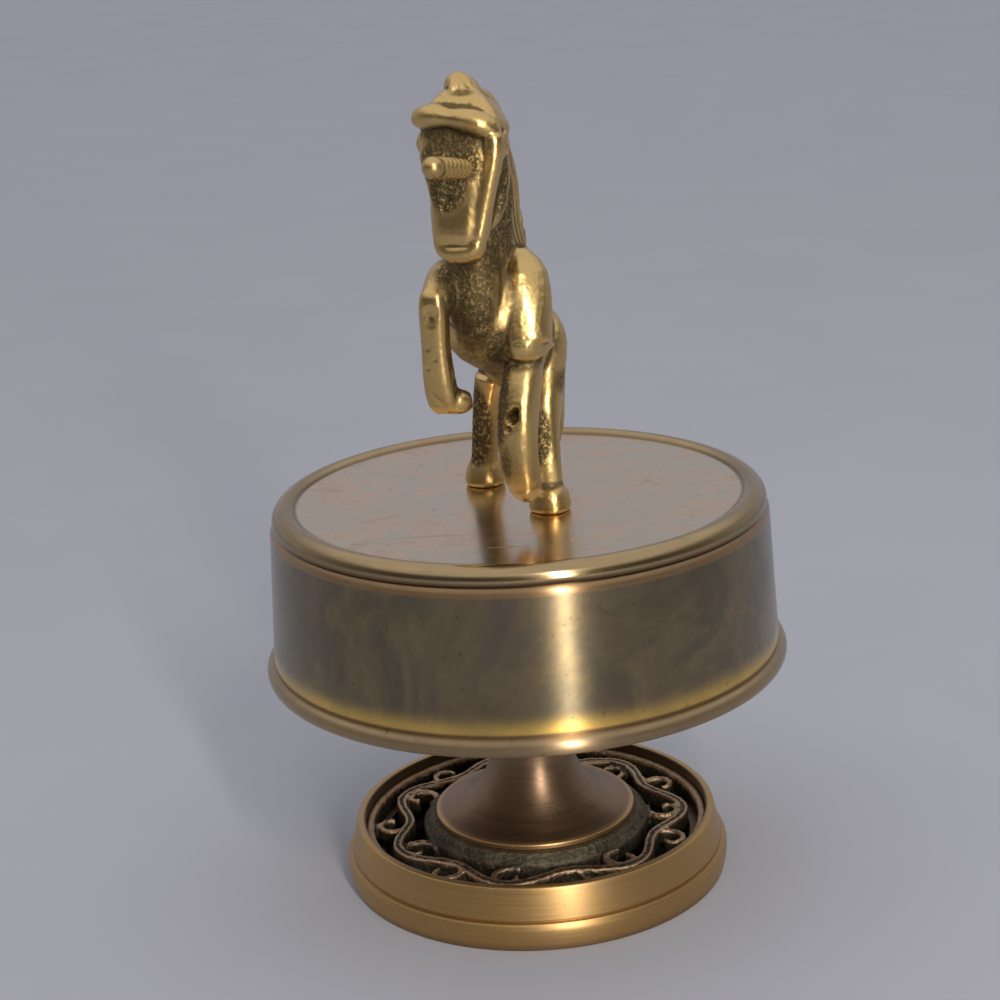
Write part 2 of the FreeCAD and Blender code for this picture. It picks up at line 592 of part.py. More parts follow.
def make_scroll_insert():
    """The cast openwork insert: outer ring, waving vine, curled tendrils and the boss under the pedestal."""
    seat = value("scroll_seat")
    thickness = value("insert_thickness")
    outer = value("insert_radius")
    inner = outer - value("insert_ring")
    boss = value("boss_radius")
    half = value("vine_width") / 2
    bite = value("curl_bite")
    middle = (inner + boss) / 2
    swing = value("vine_swing")
    waves = int(value("vine_waves"))
    width = value("curl_width")
    up = Vector(0, 0, thickness)
    lift = Vector(0, 0, seat)
    outer_ring = Part.makeCylinder(outer, thickness).cut(Part.makeCylinder(inner, thickness))
    vine = wave_band(middle, swing, half).extrude(up)
    tendrils = []
    for step in range(2 * waves):
        angle = math.pi * step / waves
        outward = 1 if step % 2 else -1
        vine_side = middle - outward * (swing - half)
        far_side = inner if outward > 0 else boss
        centre = Vector(math.cos(angle), math.sin(angle), 0) * ((vine_side + far_side) / 2)
        radius = abs(far_side - vine_side) / 2 + bite
        facing = angle + (math.pi if outward < 0 else 0) + math.pi / 4
        tendrils.append(curl(centre, radius, width, facing).extrude(up))
    scroll = outer_ring.fuse([vine] + tendrils)
    scroll.translate(lift)
    low = value("plate_top")
    top = value("pedestal_seat")
    stem = value("boss_stem_radius")
    slope = value("boss_slope")
    bore = value("pedestal_screw_radius + fit_gap")
    corners = [(bore, low), (stem, low), (stem, seat), (boss, seat), (boss, seat + thickness),
               (boss - slope, top), (bore, top), (bore, low)]
    profile = Part.makePolygon([Vector(across, 0, height) for across, height in corners])
    middle_boss = Part.Face(profile).revolve(Vector(), Vector(0, 0, 1), 360)
    insert = doc.addObject("Part::Feature", "scroll_insert")
    insert.Shape = scroll.fuse(middle_boss).removeSplitter()
    node("scroll_insert", insert)


# Drum
def make_drum():
    """The turning drum: shell with its rolled flange, top cap with its bead, and bottom cover."""
    flange_middle = "flange_radius - flange_round"
    node("drum_shell", turned("drum_shell", [
        ("cover_groove - lip_width", "drum_floor"),
        (flange_middle, "drum_floor", "flange_round"),
        ("flange_radius", "drum_floor + flange_round", "flange_round"),
        (flange_middle, "drum_floor + 2 * flange_round"),
        ("wall_foot_radius", "drum_floor + 2 * flange_round + flange_step"),
        ("wall_top_radius", "shoulder_top - shoulder_round", "shoulder_round"),
        ("wall_top_radius - shoulder_round", "shoulder_top"),
        ("rim_opening", "shoulder_top"),
        ("rim_opening", "shoulder_top - wall_thickness"),
        ("inner_top", "shoulder_top - wall_thickness"),
        ("inner_foot", "cover_top"),
        ("cover_groove", "cover_top"),
        ("cover_groove", "cover_low"),
        ("cover_groove - lip_width", "cover_low"),
    ]))
    plug = "rim_opening - fit_gap"
    cap = turned("top_cap_blank", [
        ("0", "cap_under"),
        (plug + " - cap_thickness", "cap_under"),
        (plug + " - cap_thickness", "shoulder_top - cap_plug"),
        (plug, "shoulder_top - cap_plug"),
        (plug, "shoulder_top"),
        ("bead_foot", "shoulder_top", "bead_round"),
        ("bead_ring_radius", "bead_crest", "bead_inner_round"),
        ("bead_inner", "top_plate"),
        ("0", "top_plate"),
    ])
    holes = []
    for side, (x, y) in HOOVES.items():
        holes.append(rod("cap_hole_" + side, "figure_screw_radius", "cap_thickness", x, y, "cap_under"))
    node("top_cap", cut("top_cap", cap, holes))
    cover = ring("cover_blank", "arbor_radius + hole_gap", "cover_groove - fit_gap", "cover_low", "cover_top")
    holes = []
    for place, (x, y) in enumerate(MOVEMENT_SCREWS):
        holes.append(rod("cover_hole_%d" % place, "movement_screw_radius", "cover_thickness", x, y, "cover_low"))
    node("bottom_cover", cut("bottom_cover", cover, holes))


# Screw places that the movement and the figure share with the covers they are fixed through
MOVEMENT_SCREWS = [("-movement_screw_back", "-movement_screw_side"), ("-movement_screw_back", "movement_screw_side"),
                   ("cylinder_start + screw_head_radius", "-comb_back + comb_root / 2 + 2 * screw_head_radius")]


def turned_place(across, back):
    """Expressions for a point of the figure, given to its left and behind the middle, on the top plate."""
    x = "(%s) * cos(figure_heading) + (%s) * sin(figure_heading)" % (across, back)
    y = "(%s) * cos(figure_heading) - (%s) * sin(figure_heading)" % (back, across)
    return x, y


LEFT_HOOF = Vector(9.1, -8.1, 0)
RIGHT_HOOF = Vector(-7.9, 4.4, 0)
HOOVES = {
    "left": turned_place(LEFT_HOOF.x, LEFT_HOOF.y),
    "right": turned_place(RIGHT_HOOF.x, RIGHT_HOOF.y),
}


# Figure: stations are (left, back, up, half width, half depth), in millimetres from the middle of the top plate.
# A limb counts as steep where its direction leans less than this from upright, as a share of its length
STEEP = 0.3


def oval(centre, along, half_width, half_depth):
    """An oval wire square to the unit direction along, its width level, or to the left of a steep limb."""
    width = along.cross(Vector(0, 0, 1))
    if width.Length < STEEP:
        width = along * along.x - Vector(1, 0, 0)
    width.normalize()
    depth = along.cross(width).normalize()
    points = []
    for step in range(8):
        angle = math.pi * step / 4
        points.append(centre + width * (half_width * math.cos(angle)) + depth * (half_depth * math.sin(angle)))
    curve = Part.BSplineCurve()
    curve.interpolate(points, PeriodicFlag=True)
    return Part.Wire(curve.toShape())


def limb(stations):
    """A solid lofted through oval stations."""
    centres = [Vector(*station[:3]) for station in stations]
    wires = []
    for place, station in enumerate(stations):
        before = centres[max(place - 1, 0)]
        after = centres[min(place + 1, len(centres) - 1)]
        wires.append(oval(centres[place], (after - before).normalize(), station[3], station[4]))
    return Part.makeLoft(wires, True, False)


HORN_SEAT = Vector(4, -25.3, 60.8)
HORN_AIM = Vector(-0.8, -12, 1.9)


def make_figure():
    """The cast unicorn and its horn."""
    rump = value("rump_width") / 2
    chest = value("chest_width") / 2
    neck = value("neck_width") / 2
    brow = value("brow_width") / 2
    muzzle = value("muzzle_width") / 2
    leg = value("leg_radius")
    hoof_height = value("hoof_height")
    ankle = hoof_height - value("hoof_lap")
    body = limb([(1.1, 11.7, 23.4, 0.3 * rump, 3.0), (1.1, 9.1, 24.2, 0.78 * rump, 7.0), (1.1, 3.5, 25.9, rump, 8.6),
                 (1.2, -3.5, 29.6, 0.92 * rump, 8.0), (1.3, -10, 34.2, chest, 9.4), (1.3, -15, 37, 0.9 * chest, 8.4),
                 (1.3, -18.2, 38.3, 0.46 * chest, 4.8)])
    crest = limb([(1.3, -5, 31, 1.35 * neck, 7.0), (1.3, -7, 37, 1.7 * neck, 8.6), (1.4, -8.2, 42, 1.4 * neck, 8.2),
                  (1.5, -9.2, 47, neck, 7.2), (1.7, -10.7, 54, 0.98 * neck, 6.3), (1.8, -12.5, 61.6, neck, 5.9),
                  (1.9, -15.5, 67.7, 1.1 * neck, 5.1), (2, -18.5, 70.2, 0.7 * neck, 3.0)])
    mane = limb([(1.9, -11.5, 70.4, 0.9, 1.2), (1.8, -8.6, 66, 1.5, 1.9), (1.7, -5.6, 59, 1.5, 2.1),
                 (1.6, -3.2, 51.5, 1.5, 2.2), (1.4, -0.8, 45, 1.6, 2.2), (1.3, 1.4, 39.6, 1.4, 1.8)])
    face = limb([(2.2, -18, 71, 0.46 * brow, 2.4), (2.3, -19.5, 67.5, 0.98 * brow, 4.8),
                 (2.5, -20.8, 61.2, 0.84 * brow, 5.0), (2.1, -22, 54.3, 1.2 * muzzle, 4.2),
                 (1.7, -23.1, 48.8, muzzle, 3.5), (1.5, -23.5, 46.2, 0.73 * muzzle, 2.2)])
    cheek = limb([(6.2, -17, 67.4, 1.6, 2.4), (7, -17.2, 62.5, 1.7, 3.0), (6.4, -17.8, 57, 1.9, 3.0),
                  (5, -18.6, 52.2, 1.7, 2.2), (4, -19.2, 50.4, 0.8, 1.0)])
    ridge = limb([(-4.8, -21.9, 68.2, 1.4, 1.4), (-3.6, -22.3, 68.3, 2.2, 2.2), (2.5, -23.5, 68, 2.3, 2.3),
                  (7.8, -21.9, 67.3, 2.4, 2.4), (9.2, -21.3, 67, 1.4, 1.4)])
    forelock = limb([(1.7, -16.5, 68.2, 5.1, 4.5), (1.4, -16.3, 71.2, 3.8, 3.5), (0.8, -15.9, 73.6, 2.4, 2.3),
                     (0.5, -15.7, 74.7, 1.0, 1.0)])
    right_arm = limb([(-3.5, -9.5, 37.2, 4.6, 4.8), (-3.8, -15.5, 39.2, 3.9, 3.9), (-3.3, -22, 38.8, 2.7, 2.9),
                      (-3.3, -24.2, 38.2, 1.6, 1.7)])
    right_shin = limb([(-3.5, -22.8, 40.6, 1.3, 1.4), (-3.5, -23.1, 38.6, 2.3, 2.3), (-3.6, -23.1, 32, 2.3, 2.2),
                       (-3.7, -22.8, 26, 2.3, 2.4), (-3.6, -22.2, 22, 2.1, 2.2), (-3.4, -21.9, 20.4, 1.0, 1.1)])
    right_hoof = limb([(-4.4, -22.6, 22.9, 1.2, 1.6), (-2.8, -21.8, 22.3, 2.2, 2.3), (-0.6, -20.6, 21.9, 2.0, 2.1),
                       (0.7, -19.8, 21.9, 1.1, 1.3)])
    shoulder = limb([(4.6, -6.5, 42.4, 2.4, 3.0), (6.2, -8.2, 39.6, 4.4, 5.0), (7.3, -10, 34.4, 4.4, 5.4),
                     (8, -11.6, 30.2, 3.9, 4.8), (8.2, -12.2, 28.9, 3.2, 4.0)])
    left_arm = limb([(5.2, -8.5, 40, 4.2, 4.7), (7.2, -10, 34.6, 4.2, 5.0), (8.2, -13, 29.2, 3.7, 4.3),
                     (8.4, -16, 24.8, 3.6, 3.6), (8.1, -18.1, 18.9, 3.3, 3.2), (8, -18.5, 12.1, 3.2, 3.0),
                     (8.5, -17.5, 7, 2.8, 2.7), (9, -16.7, 4.9, 1.4, 1.4)])
    left_leg = limb([(5, 3.4, 26.5, 4.0, 5.4), (5.9, 1, 19.8, 3.1, 4.0), (6.6, -2.2, 13.6, 1.15 * leg, 1.3 * leg),
                     (7.9, -5.2, 7.2, leg, leg), (LEFT_HOOF.x, LEFT_HOOF.y, ankle, leg, leg)])
    right_leg = limb([(-3.6, 5.5, 26.6, 4.0, 5.4), (-6.2, 5.7, 19.5, 2.8, 3.8), (-7.3, 5.3, 13, leg, 1.15 * leg),
                      (-7.7, 4.7, 6.9, leg, leg), (RIGHT_HOOF.x, RIGHT_HOOF.y, ankle, leg, leg)])
    tail = limb([(1.1, 9.5, 26.6, 2.0, 2.0), (1.2, 13.5, 24.3, 2.4, 2.4), (1.2, 15.5, 17, 2.8, 2.6),
                 (1.2, 14.9, 8.1, 2.4, 2.2), (1.2, 13.5, 2.5, 1.0, 1.0)])
    hoof_radius = value("hoof_radius")
    hoof_top = value("hoof_top_radius")
    hooves = [Part.makeCone(hoof_radius, hoof_top, hoof_height, place) for place in (LEFT_HOOF, RIGHT_HOOF)]
    limbs = [crest, mane, face, cheek, ridge, forelock, right_arm, right_shin, right_hoof, shoulder, left_arm, left_leg,
             right_leg, tail]
    solid = body.fuse(limbs + hooves)
    screw = value("figure_screw_radius")
    depth = value("figure_screw_depth")
    solid = solid.cut([Part.makeCylinder(screw, depth, place) for place in (LEFT_HOOF, RIGHT_HOOF)])
    horn_seat = Placement(HORN_SEAT, Rotation(Vector(0, 0, 1), HORN_AIM))
    gap = value("fit_gap")
    spigot = value("horn_spigot")
    socket = Part.makeCylinder(value("horn_spigot_radius") + gap, spigot, Vector(0, 0, -spigot))
    mouth = Part.makeCylinder(value("rib_reach") + gap, value("horn_clearing"), Vector(0, 0, -gap))
    for tool in (socket, mouth):
        tool.Placement = horn_seat
    solid = solid.cut([socket, mouth])
    heading = Rotation(Vector(0, 0, 1), -value("figure_heading"))
    stand = Placement(Vector(0, 0, value("top_plate")), heading)
    figure = doc.addObject("Part::Feature", "unicorn")
    (figure.Shape,) = solid.Solids
    figure.Placement = stand
    node("unicorn", figure)
    horn = turned("horn", horn_corners())
    horn.Placement = stand.multiply(horn_seat)
    node("horn", horn)
    screws = []
    for side, (x, y) in HOOVES.items():
        screws.append(disc_screw("figure_screw_" + side, x, y, "cap_under", "2 * figure_screw_radius",
                                 "figure_screw_radius", "cap_thickness + figure_screw_depth", up=False))
    node("figure_screws", group("figure_screws", screws))


def horn_corners():
    """The horn's outline: spigot, rounded ribs and a ball at the tip."""
    ribs = int(value("horn_ribs"))
    corners = [("0", "-horn_spigot"), ("horn_spigot_radius", "-horn_spigot"), ("horn_spigot_radius", "0")]
    for place in range(ribs):
        corners.append(("horn_groove_radius", "%d * rib_length" % place if place else "0", "rib_arc"))
    corners.append(("horn_groove_radius", "horn_length - 2 * horn_radius"))
    corners.append(("horn_radius", "horn_length - horn_radius", "horn_radius"))
    corners.append(("0", "horn_length"))
    return corners


# Movement
def make_great_wheel():
    """The crown wheel on the winding arbor, its teeth standing up under the drive pinion."""
    tooth_top = "mesh_level + crown_tooth_high"
    body = turned("great_wheel", [
        ("arbor_radius", "wheel_low"),
        ("crown_edge", "wheel_low"),
        ("crown_edge", "web_top"),
        ("wheel_hub_radius", "web_top"),
        ("wheel_hub_radius", "wheel_low + wheel_hub_height"),
        ("arbor_radius", "wheel_low + wheel_hub_height"),
    ])
    half = "tooth_share * pi * crown_module / 2"
    sketch = outline(body, "crown_tooth_outline", [
        ("crown_inner", "-(%s)" % half),
        ("crown_edge - crown_inset", "-(%s)" % half),
        ("crown_edge - crown_inset", half),
        ("crown_inner", half),
    ], "XY_Plane")
    bind(sketch, AttachmentOffset__Base__z="web_top - crown_lap")
    tooth = body.newObject("PartDesign::Pad", "crown_tooth")
    tooth.Profile = sketch
    bind(tooth, Length=tooth_top + " - web_top + crown_lap")
    pattern(body, "crown", tooth, "crown_teeth")
    body.Placement = Placement(Vector(), Rotation(Vector(0, 0, 1), 180 / value("crown_teeth")))
    node("great_wheel", body)


LUG_ANGLES = (100, 180, 260)


def make_bedplate():
    """The cast bedplate with its barrel posts and the ledge that carries the comb."""
    sheet_metal = block("bed_sheet", "bed_back + bed_radius", "bed_side + bed_comb_side", "bed_thickness",
                        "-bed_back", "-bed_comb_side", "cover_top")
    edge = rod("bed_edge", "bed_radius", "bed_thickness", z="cover_top")
    plate = doc.addObject("Part::Common", "bed_round")
    plate.Base = sheet_metal
    plate.Tool = edge
    posts = []
    tools = [rod("bed_bore", "arbor_radius + bore_gap", "bed_thickness", z="cover_top")]
    for angle in LUG_ANGLES:
        x = "lug_reach * cos(%d)" % angle
        y = "lug_reach * sin(%d)" % angle
        posts.append(rod("post_%d" % angle, "lug_radius", "barrel_low - bed_top", x, y, "bed_top"))
        tools.append(rod("post_hole_%d" % angle, "screw_radius", "screw_depth", x, y, "barrel_low - screw_depth"))
    ledge = block("comb_ledge", "cylinder_length", "comb_root", "comb_low - bed_top",
                  "cylinder_start", "-comb_back", "bed_top")
    for place, x in enumerate(COMB_SCREWS):
        tools.append(rod("ledge_hole_%d" % place, "screw_radius", "screw_depth - comb_thickness", x, COMB_SCREW_LINE,
                         "comb_top - screw_depth"))
    for place, (x, y) in enumerate(MOVEMENT_SCREWS):
        tools.append(rod("bed_hole_%d" % place, "movement_screw_radius", "bed_thickness", x, y, "cover_top"))
    for place, (x, y) in enumerate(FOOT_SCREWS):
        tools.append(rod("foot_hole_%d" % place, "screw_radius", "bed_thickness", x, y, "cover_top"))
    node("movement_bedplate", cut("movement_bedplate", join("bed_cast", [plate, ledge] + posts), tools))


COMB_SCREWS = ("cylinder_start + comb_screw_inset", "cylinder_end - comb_screw_inset")
COMB_SCREW_LINE = "-comb_back + comb_root / 2"
INNER_FOOT_SCREW = ("inner_bearing_face + foot_screw_reach", "0")
OUTER_FOOT_SCREW = ("outer_bearing_end - foot_screw_reach", "0")
GOVERNOR_FOOT_SCREW = ("worm_place", "governor_side + cheek_width - screw_head_radius - side_gap")
FOOT_SCREWS = (INNER_FOOT_SCREW, OUTER_FOOT_SCREW, GOVERNOR_FOOT_SCREW)


def make_spring():
    """The spring barrel with its lugs and cover, the mainspring and the lug screws."""
    inner = "barrel_radius - barrel_wall"
    can = turned("barrel_can", [
        ("barrel_radius", "barrel_low"),
        ("barrel_radius", "barrel_top"),
        ("arbor_radius + bore_gap", "barrel_top"),
        ("arbor_radius + bore_gap", "barrel_top - barrel_wall"),
        (inner, "barrel_top - barrel_wall"),
        (inner, "barrel_low"),
    ])
    lugs = [can]
    tools = []
    screws = []
    for angle in LUG_ANGLES:
        x = "lug_reach * cos(%d)" % angle
        y = "lug_reach * sin(%d)" % angle
        arm = block("lug_arm_%d" % angle, "lug_reach - barrel_radius + barrel_wall / 2", "2 * lug_radius",
                    "lug_thickness", 0, 0, "barrel_low")
        arm.Placement.Rotation = Rotation(Vector(0, 0, 1), angle)
        start = "(barrel_radius - barrel_wall / 2)"
        bind(arm, Placement__Base__x="%s * cos(%d) + lug_radius * sin(%d)" % (start, angle, angle),
             Placement__Base__y="%s * sin(%d) - lug_radius * cos(%d)" % (start, angle, angle))
        lugs.append(arm)
        lugs.append(rod("lug_end_%d" % angle, "lug_radius", "lug_thickness", x, y, "barrel_low"))
        tools.append(rod("lug_hole_%d" % angle, "screw_radius", "lug_thickness", x, y, "barrel_low"))
        screws.append(disc_screw("barrel_screw_%d" % angle, x, y, "lug_top", "screw_head_radius", "screw_radius",
                                 "lug_thickness + screw_depth"))
    node("spring_barrel", cut("spring_barrel", join("barrel_with_lugs", lugs), tools))
    node("barrel_screws", group("barrel_screws", screws))
    node("barrel_cover", ring("barrel_cover", "arbor_radius + bore_gap", "barrel_radius", "barrel_cover_low",
                              "barrel_low"))
    strip = value("spring_thickness")
    first = value("arbor_radius + hole_gap")
    last = value("barrel_radius - barrel_wall - fit_gap") - strip
    turns = int(value("spring_turns"))
    step = (last - first) / (2 * turns)
    margin = value("spring_margin")
    height = value("barrel_height - barrel_wall") - 2 * margin
    spring = doc.addObject("Part::Feature", "mainspring")
    spring.Shape = spiral_face(first, step, strip, 2 * turns).extrude(Vector(0, 0, height))
    spring.Placement = Placement(Vector(0, 0, value("barrel_low") + margin), Rotation())
    node("mainspring", spring)


def spiral_face(first, step, strip, half_turns):
    """A strip wound in half circles about two centres, each half turn one step wider."""
    sides = []
    for offset in (0, strip):
        arcs = []
        for place in range(half_turns):
            sign = 1 if place % 2 == 0 else -1
            centre = Vector(0 if place % 2 == 0 else step, 0, 0)
            radius = first + place * step + offset
            start = centre + Vector(sign * radius, 0, 0)
            top = centre + Vector(0, sign * radius, 0)
            arcs.append(Part.Arc(start, top, centre - Vector(sign * radius, 0, 0)))
        sides.append(arcs)
    inner, outer = sides
    ends = [Part.LineSegment(inner[0].StartPoint, outer[0].StartPoint),
            Part.LineSegment(inner[-1].EndPoint, outer[-1].EndPoint)]
    edges = [piece.toShape() for piece in inner + outer + ends]
    return Part.Face(Part.Wire(Part.__sortEdges__(edges)))


def make_cylinder():
    """The pin cylinder on its arbor, with the drive pinion at one end and its gear at the other."""
    wall = "cylinder_radius - cylinder_wall"
    bore = "cylinder_arbor_radius"
    barrel = turned("cylinder_tube", [
        (bore, "0"),
        ("cylinder_hub", "0"),
        ("cylinder_hub", "cylinder_length - cylinder_wall"),
        (wall, "cylinder_length - cylinder_wall"),
        (wall, "0"),
        ("cylinder_radius", "0"),
        ("cylinder_radius", "cylinder_length"),
        (bore, "cylinder_length"),
    ])
    put(barrel, "cylinder_start", 0, "axis_level", ALONG_X)
    doc.recompute()
    notes = int(value("notes"))
    per_note = int(value("pins_per_note"))
    pins = []
    for note in range(notes):
        x = value("cylinder_start") + (note + 1) * value("note_pitch")
        for place in range(per_note):
            angle = 2 * math.pi * (place / per_note + (note * 7 % notes) / notes / per_note)
            across = Vector(0, math.cos(angle), math.sin(angle))
            start = Vector(x, 0, value("axis_level")) + across * value("cylinder_radius - cylinder_wall / 2")
            length = value("pin_height + cylinder_wall / 2")
            pins.append(Part.makeCylinder(value("pin_radius"), length, start, across))
    pinned = doc.addObject("Part::Feature", "pin_cylinder")
    pinned.Shape = barrel.Shape.fuse(pins)
    node("pin_cylinder", pinned)
    arbor_start = "crown_inner - side_gap"
    node("cylinder_arbor", rod("cylinder_arbor", bore, "outer_bearing_end - (%s)" % arbor_start, arbor_start, 0,
                               "axis_level", ALONG_X))
    pinion = toothed("drive_pinion", "pinion_teeth", "crown_module", "crown_face", bore)
    put(pinion, "crown_inner", 0, "axis_level", ALONG_X)
    node("drive_pinion", pinion)
    gear = toothed("cylinder_gear", "gear_teeth", "fine_module", "gear_thickness", bore)
    gap_towards_governor = Rotation(Vector(0, 0, 1), 90 + 180 / value("gear_teeth"))
    put(gear, "gear_start", 0, "axis_level", ALONG_X.multiply(gap_towards_governor))
    node("cylinder_gear", gear)


def make_bearings():
    """The two brackets that carry the cylinder's arbor, with their screws."""
    height = "axis_level - bed_top + bearing_head"
    screws = []
    for name, face, foot, (x, y) in (
            ("inner_bearing", "inner_bearing_face", "inner_bearing_face", INNER_FOOT_SCREW),
            ("outer_bearing", "outer_bearing_face", "outer_bearing_end - bearing_foot", OUTER_FOOT_SCREW)):
        upright = block(name + "_upright", "bearing_thickness", "bearing_width", height, face,
                        "-bearing_width / 2", "bed_top")
        base = block(name + "_foot", "bearing_foot", "bearing_width", "bearing_thickness", foot,
                     "-bearing_width / 2", "bed_top")
        tools = [
            rod(name + "_bore", "cylinder_arbor_radius + bore_gap", "bearing_thickness", face, 0, "axis_level",
                ALONG_X),
            rod(name + "_hole", "screw_radius", "bearing_thickness", x, y, "bed_top"),
        ]
        node(name, cut(name, join(name + "_sheet", [upright, base]), tools))
        screws.append(disc_screw(name + "_screw", x, y, "foot_top", "screw_head_radius", "screw_radius",
                                 "bearing_thickness + bed_thickness"))
    node("bearing_screws", group("bearing_screws", screws))


def make_comb():
    """The steel comb with its graded teeth, and its screws."""
    plate = block("comb_plate", "cylinder_length", "comb_back - comb_tip", "comb_thickness", "cylinder_start",
                  "-comb_back", "comb_low")
    tools = []
    screws = []
    for place, x in enumerate(COMB_SCREWS):
        tools.append(rod("comb_hole_%d" % place, "screw_radius", "comb_thickness", x, COMB_SCREW_LINE, "comb_low"))
        screws.append(disc_screw("comb_screw_%d" % place, x, COMB_SCREW_LINE, "comb_top", "screw_head_radius",
                                 "screw_radius", "screw_depth"))
    for slot in range(int(value("notes")) + 1):
        middle = "cylinder_start + note_pitch * (%d + 0.5)" % slot
        length = "comb_short_tooth + (comb_long_tooth - comb_short_tooth) * %d / notes" % (value("notes") - slot)
        tools.append(block("comb_slot_%d" % slot, "comb_slot", length, "comb_thickness",
                           middle + " - comb_slot / 2", "-comb_tip - (%s)" % length, "comb_low"))
    node("comb", cut("comb", plate, tools))
    node("comb_screws", group("comb_screws", screws))


def make_governor():
    """The governor: its frame, the arbor with pinion and worm wheel, and the worm with the air brake fan."""
    foot_start = "governor_side - cheek_width / 2"
    depth = "worm_side + cheek_width / 2 - (%s)" % foot_start
    foot = block("governor_foot", "cheek_outer_end - cheek_inner_start", depth, "bearing_thickness",
                 "cheek_inner_start", foot_start, "bed_top")
    inner = block("governor_inner_cheek", "cheek_thickness", depth, "arm_top - bed_top", "cheek_inner_start",
                  foot_start, "bed_top")
    outer = block("governor_outer_cheek", "cheek_thickness", "cheek_width", "cheek_top - bed_top",
                  "cheek_outer_start", foot_start, "bed_top")
    arm = block("governor_arm", "worm_place - cheek_inner_start + cheek_width / 2", "cheek_width", "cheek_thickness",
                "cheek_inner_start", "worm_side - cheek_width / 2", "arm_low")
    x, y = GOVERNOR_FOOT_SCREW
    pivot = "governor_arbor_radius + bore_gap"
    worm_pivot = "worm_shaft_radius + bore_gap"
    tools = [
        rod("governor_bore", pivot, "cheek_outer_end - cheek_inner_start", "cheek_inner_start", "governor_side",
            "axis_level", ALONG_X),
        rod("worm_foot_bore", worm_pivot, "bearing_thickness", "worm_place", "worm_side", "bed_top"),
        rod("worm_arm_bore", worm_pivot, "cheek_thickness", "worm_place", "worm_side", "arm_low"),
        rod("governor_hole", "screw_radius", "bearing_thickness", x, y, "bed_top"),
    ]
    node("governor_frame", cut("governor_frame", join("governor_sheet", [foot, inner, outer, arm]), tools))
    node("governor_screw", disc_screw("governor_screw", x, y, "foot_top", "screw_head_radius", "screw_radius",
                                      "bearing_thickness + bed_thickness"))
    node("governor_arbor", rod("governor_arbor", "governor_arbor_radius", "cheek_outer_end - cheek_inner_start",
                               "cheek_inner_start", "governor_side", "axis_level", ALONG_X))
    pinion = toothed("governor_pinion", "governor_teeth", "fine_module", "gear_thickness", "governor_arbor_radius")
    put(pinion, "gear_start", "governor_side", "axis_level", ALONG_X.multiply(Rotation(Vector(0, 0, 1), -90)))
    node("governor_pinion", pinion)
    wheel = toothed("worm_wheel", "worm_wheel_teeth", "fine_module", "worm_wheel_thickness", "governor_arbor_radius")
    put(wheel, "worm_wheel_start", "governor_side", "axis_level", ALONG_X.multiply(Rotation(Vector(0, 0, 1), 90)))
    node("worm_wheel", wheel)
    make_fly()


def make_fly():
    """The worm shaft with its cut thread, and the fan that brakes it in the air."""
    pitch = value("worm_pitch")
    turns = value("worm_turns")
    core = value("worm_radius - fine_module")
    tip = value("worm_radius + thread_tip * fine_module")
    foot = value("thread_foot * tooth_share") * pitch / 2
    land = value("thread_land * tooth_share") * pitch / 2
    helix = Part.makeHelix(pitch, pitch * turns, core)
    root = core - value("thread_lap")
    profile = Part.makePolygon([Vector(root, 0, -foot), Vector(tip, 0, -land), Vector(tip, 0, land),
                                Vector(root, 0, foot), Vector(root, 0, -foot)])
    thread = Part.Wire(helix).makePipeShell([profile], True, True)
    thread.Placement = Placement(Vector(0, 0, value("worm_low")), Rotation(Vector(0, 0, 1), 90 - 180 * turns))
    low = value("bed_top")
    shaft = Part.makeCylinder(value("worm_shaft_radius"), value("arm_top") - low, Vector(0, 0, low))
    past = value("worm_land")
    body = Part.makeCylinder(core, turns * pitch + 2 * past, Vector(0, 0, value("worm_low") - past))
    worm = doc.addObject("Part::Feature", "worm_shaft")
    worm.Shape = body.fuse([shaft, thread])
    put(worm, "worm_place", "worm_side", 0)
    node("worm_shaft", worm)
    collar = rod("fan_collar", "2 * worm_shaft_radius", "fan_height", "worm_place", "worm_side", "fan_low")
    vanes = block("fan_vanes", "2 * fan_radius", "fan_thickness", "fan_height", "worm_place - fan_radius",
                  "worm_side - fan_thickness / 2", "fan_low")
    bore = rod("fan_bore", "worm_shaft_radius", "fan_height", "worm_place", "worm_side", "fan_low")
    node("air_brake_fan", cut("air_brake_fan", join("fan_sheet", [collar, vanes]), [bore]))


def make_movement_screws():
    """The screws that hold the bedplate to the bottom cover."""
    screws = []
    for place, (x, y) in enumerate(MOVEMENT_SCREWS):
        screws.append(disc_screw("movement_screw_%d" % place, x, y, "cover_low", "movement_screw_head",
                                 "movement_screw_radius", "cover_thickness + bed_thickness", up=False))
    node("movement_screws", group("movement_screws", screws))


make_base()
make_scroll_insert()
make_drum()
make_figure()
make_great_wheel()
make_bedplate()
make_spring()
make_cylinder()
make_bearings()
make_comb()
make_governor()
make_movement_screws()
doc.recompute()

for item in doc.Objects:
    if "Invalid" in item.State or "Error" in item.State:
        raise RuntimeError("%s failed: %s" % (item.Label, item.State))
for piece in nodes:
    if piece.Shape.isNull() or not piece.Shape.isValid() or not piece.Shape.Solids:
        raise RuntimeError("%s has no valid solid" % piece.Label)

os.makedirs("parts", exist_ok=True)
for piece in nodes:
    piece.Shape.exportStep("parts/%s.step" % piece.Label)
    print("%s: %d solid(s), %.1f mm3" % (piece.Label, len(piece.Shape.Solids), piece.Shape.Volume))
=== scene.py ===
import math

import bmesh
import bpy
import numpy
from bpy.props import FloatProperty, FloatVectorProperty, IntProperty, PointerProperty
from mathutils import Matrix, Vector


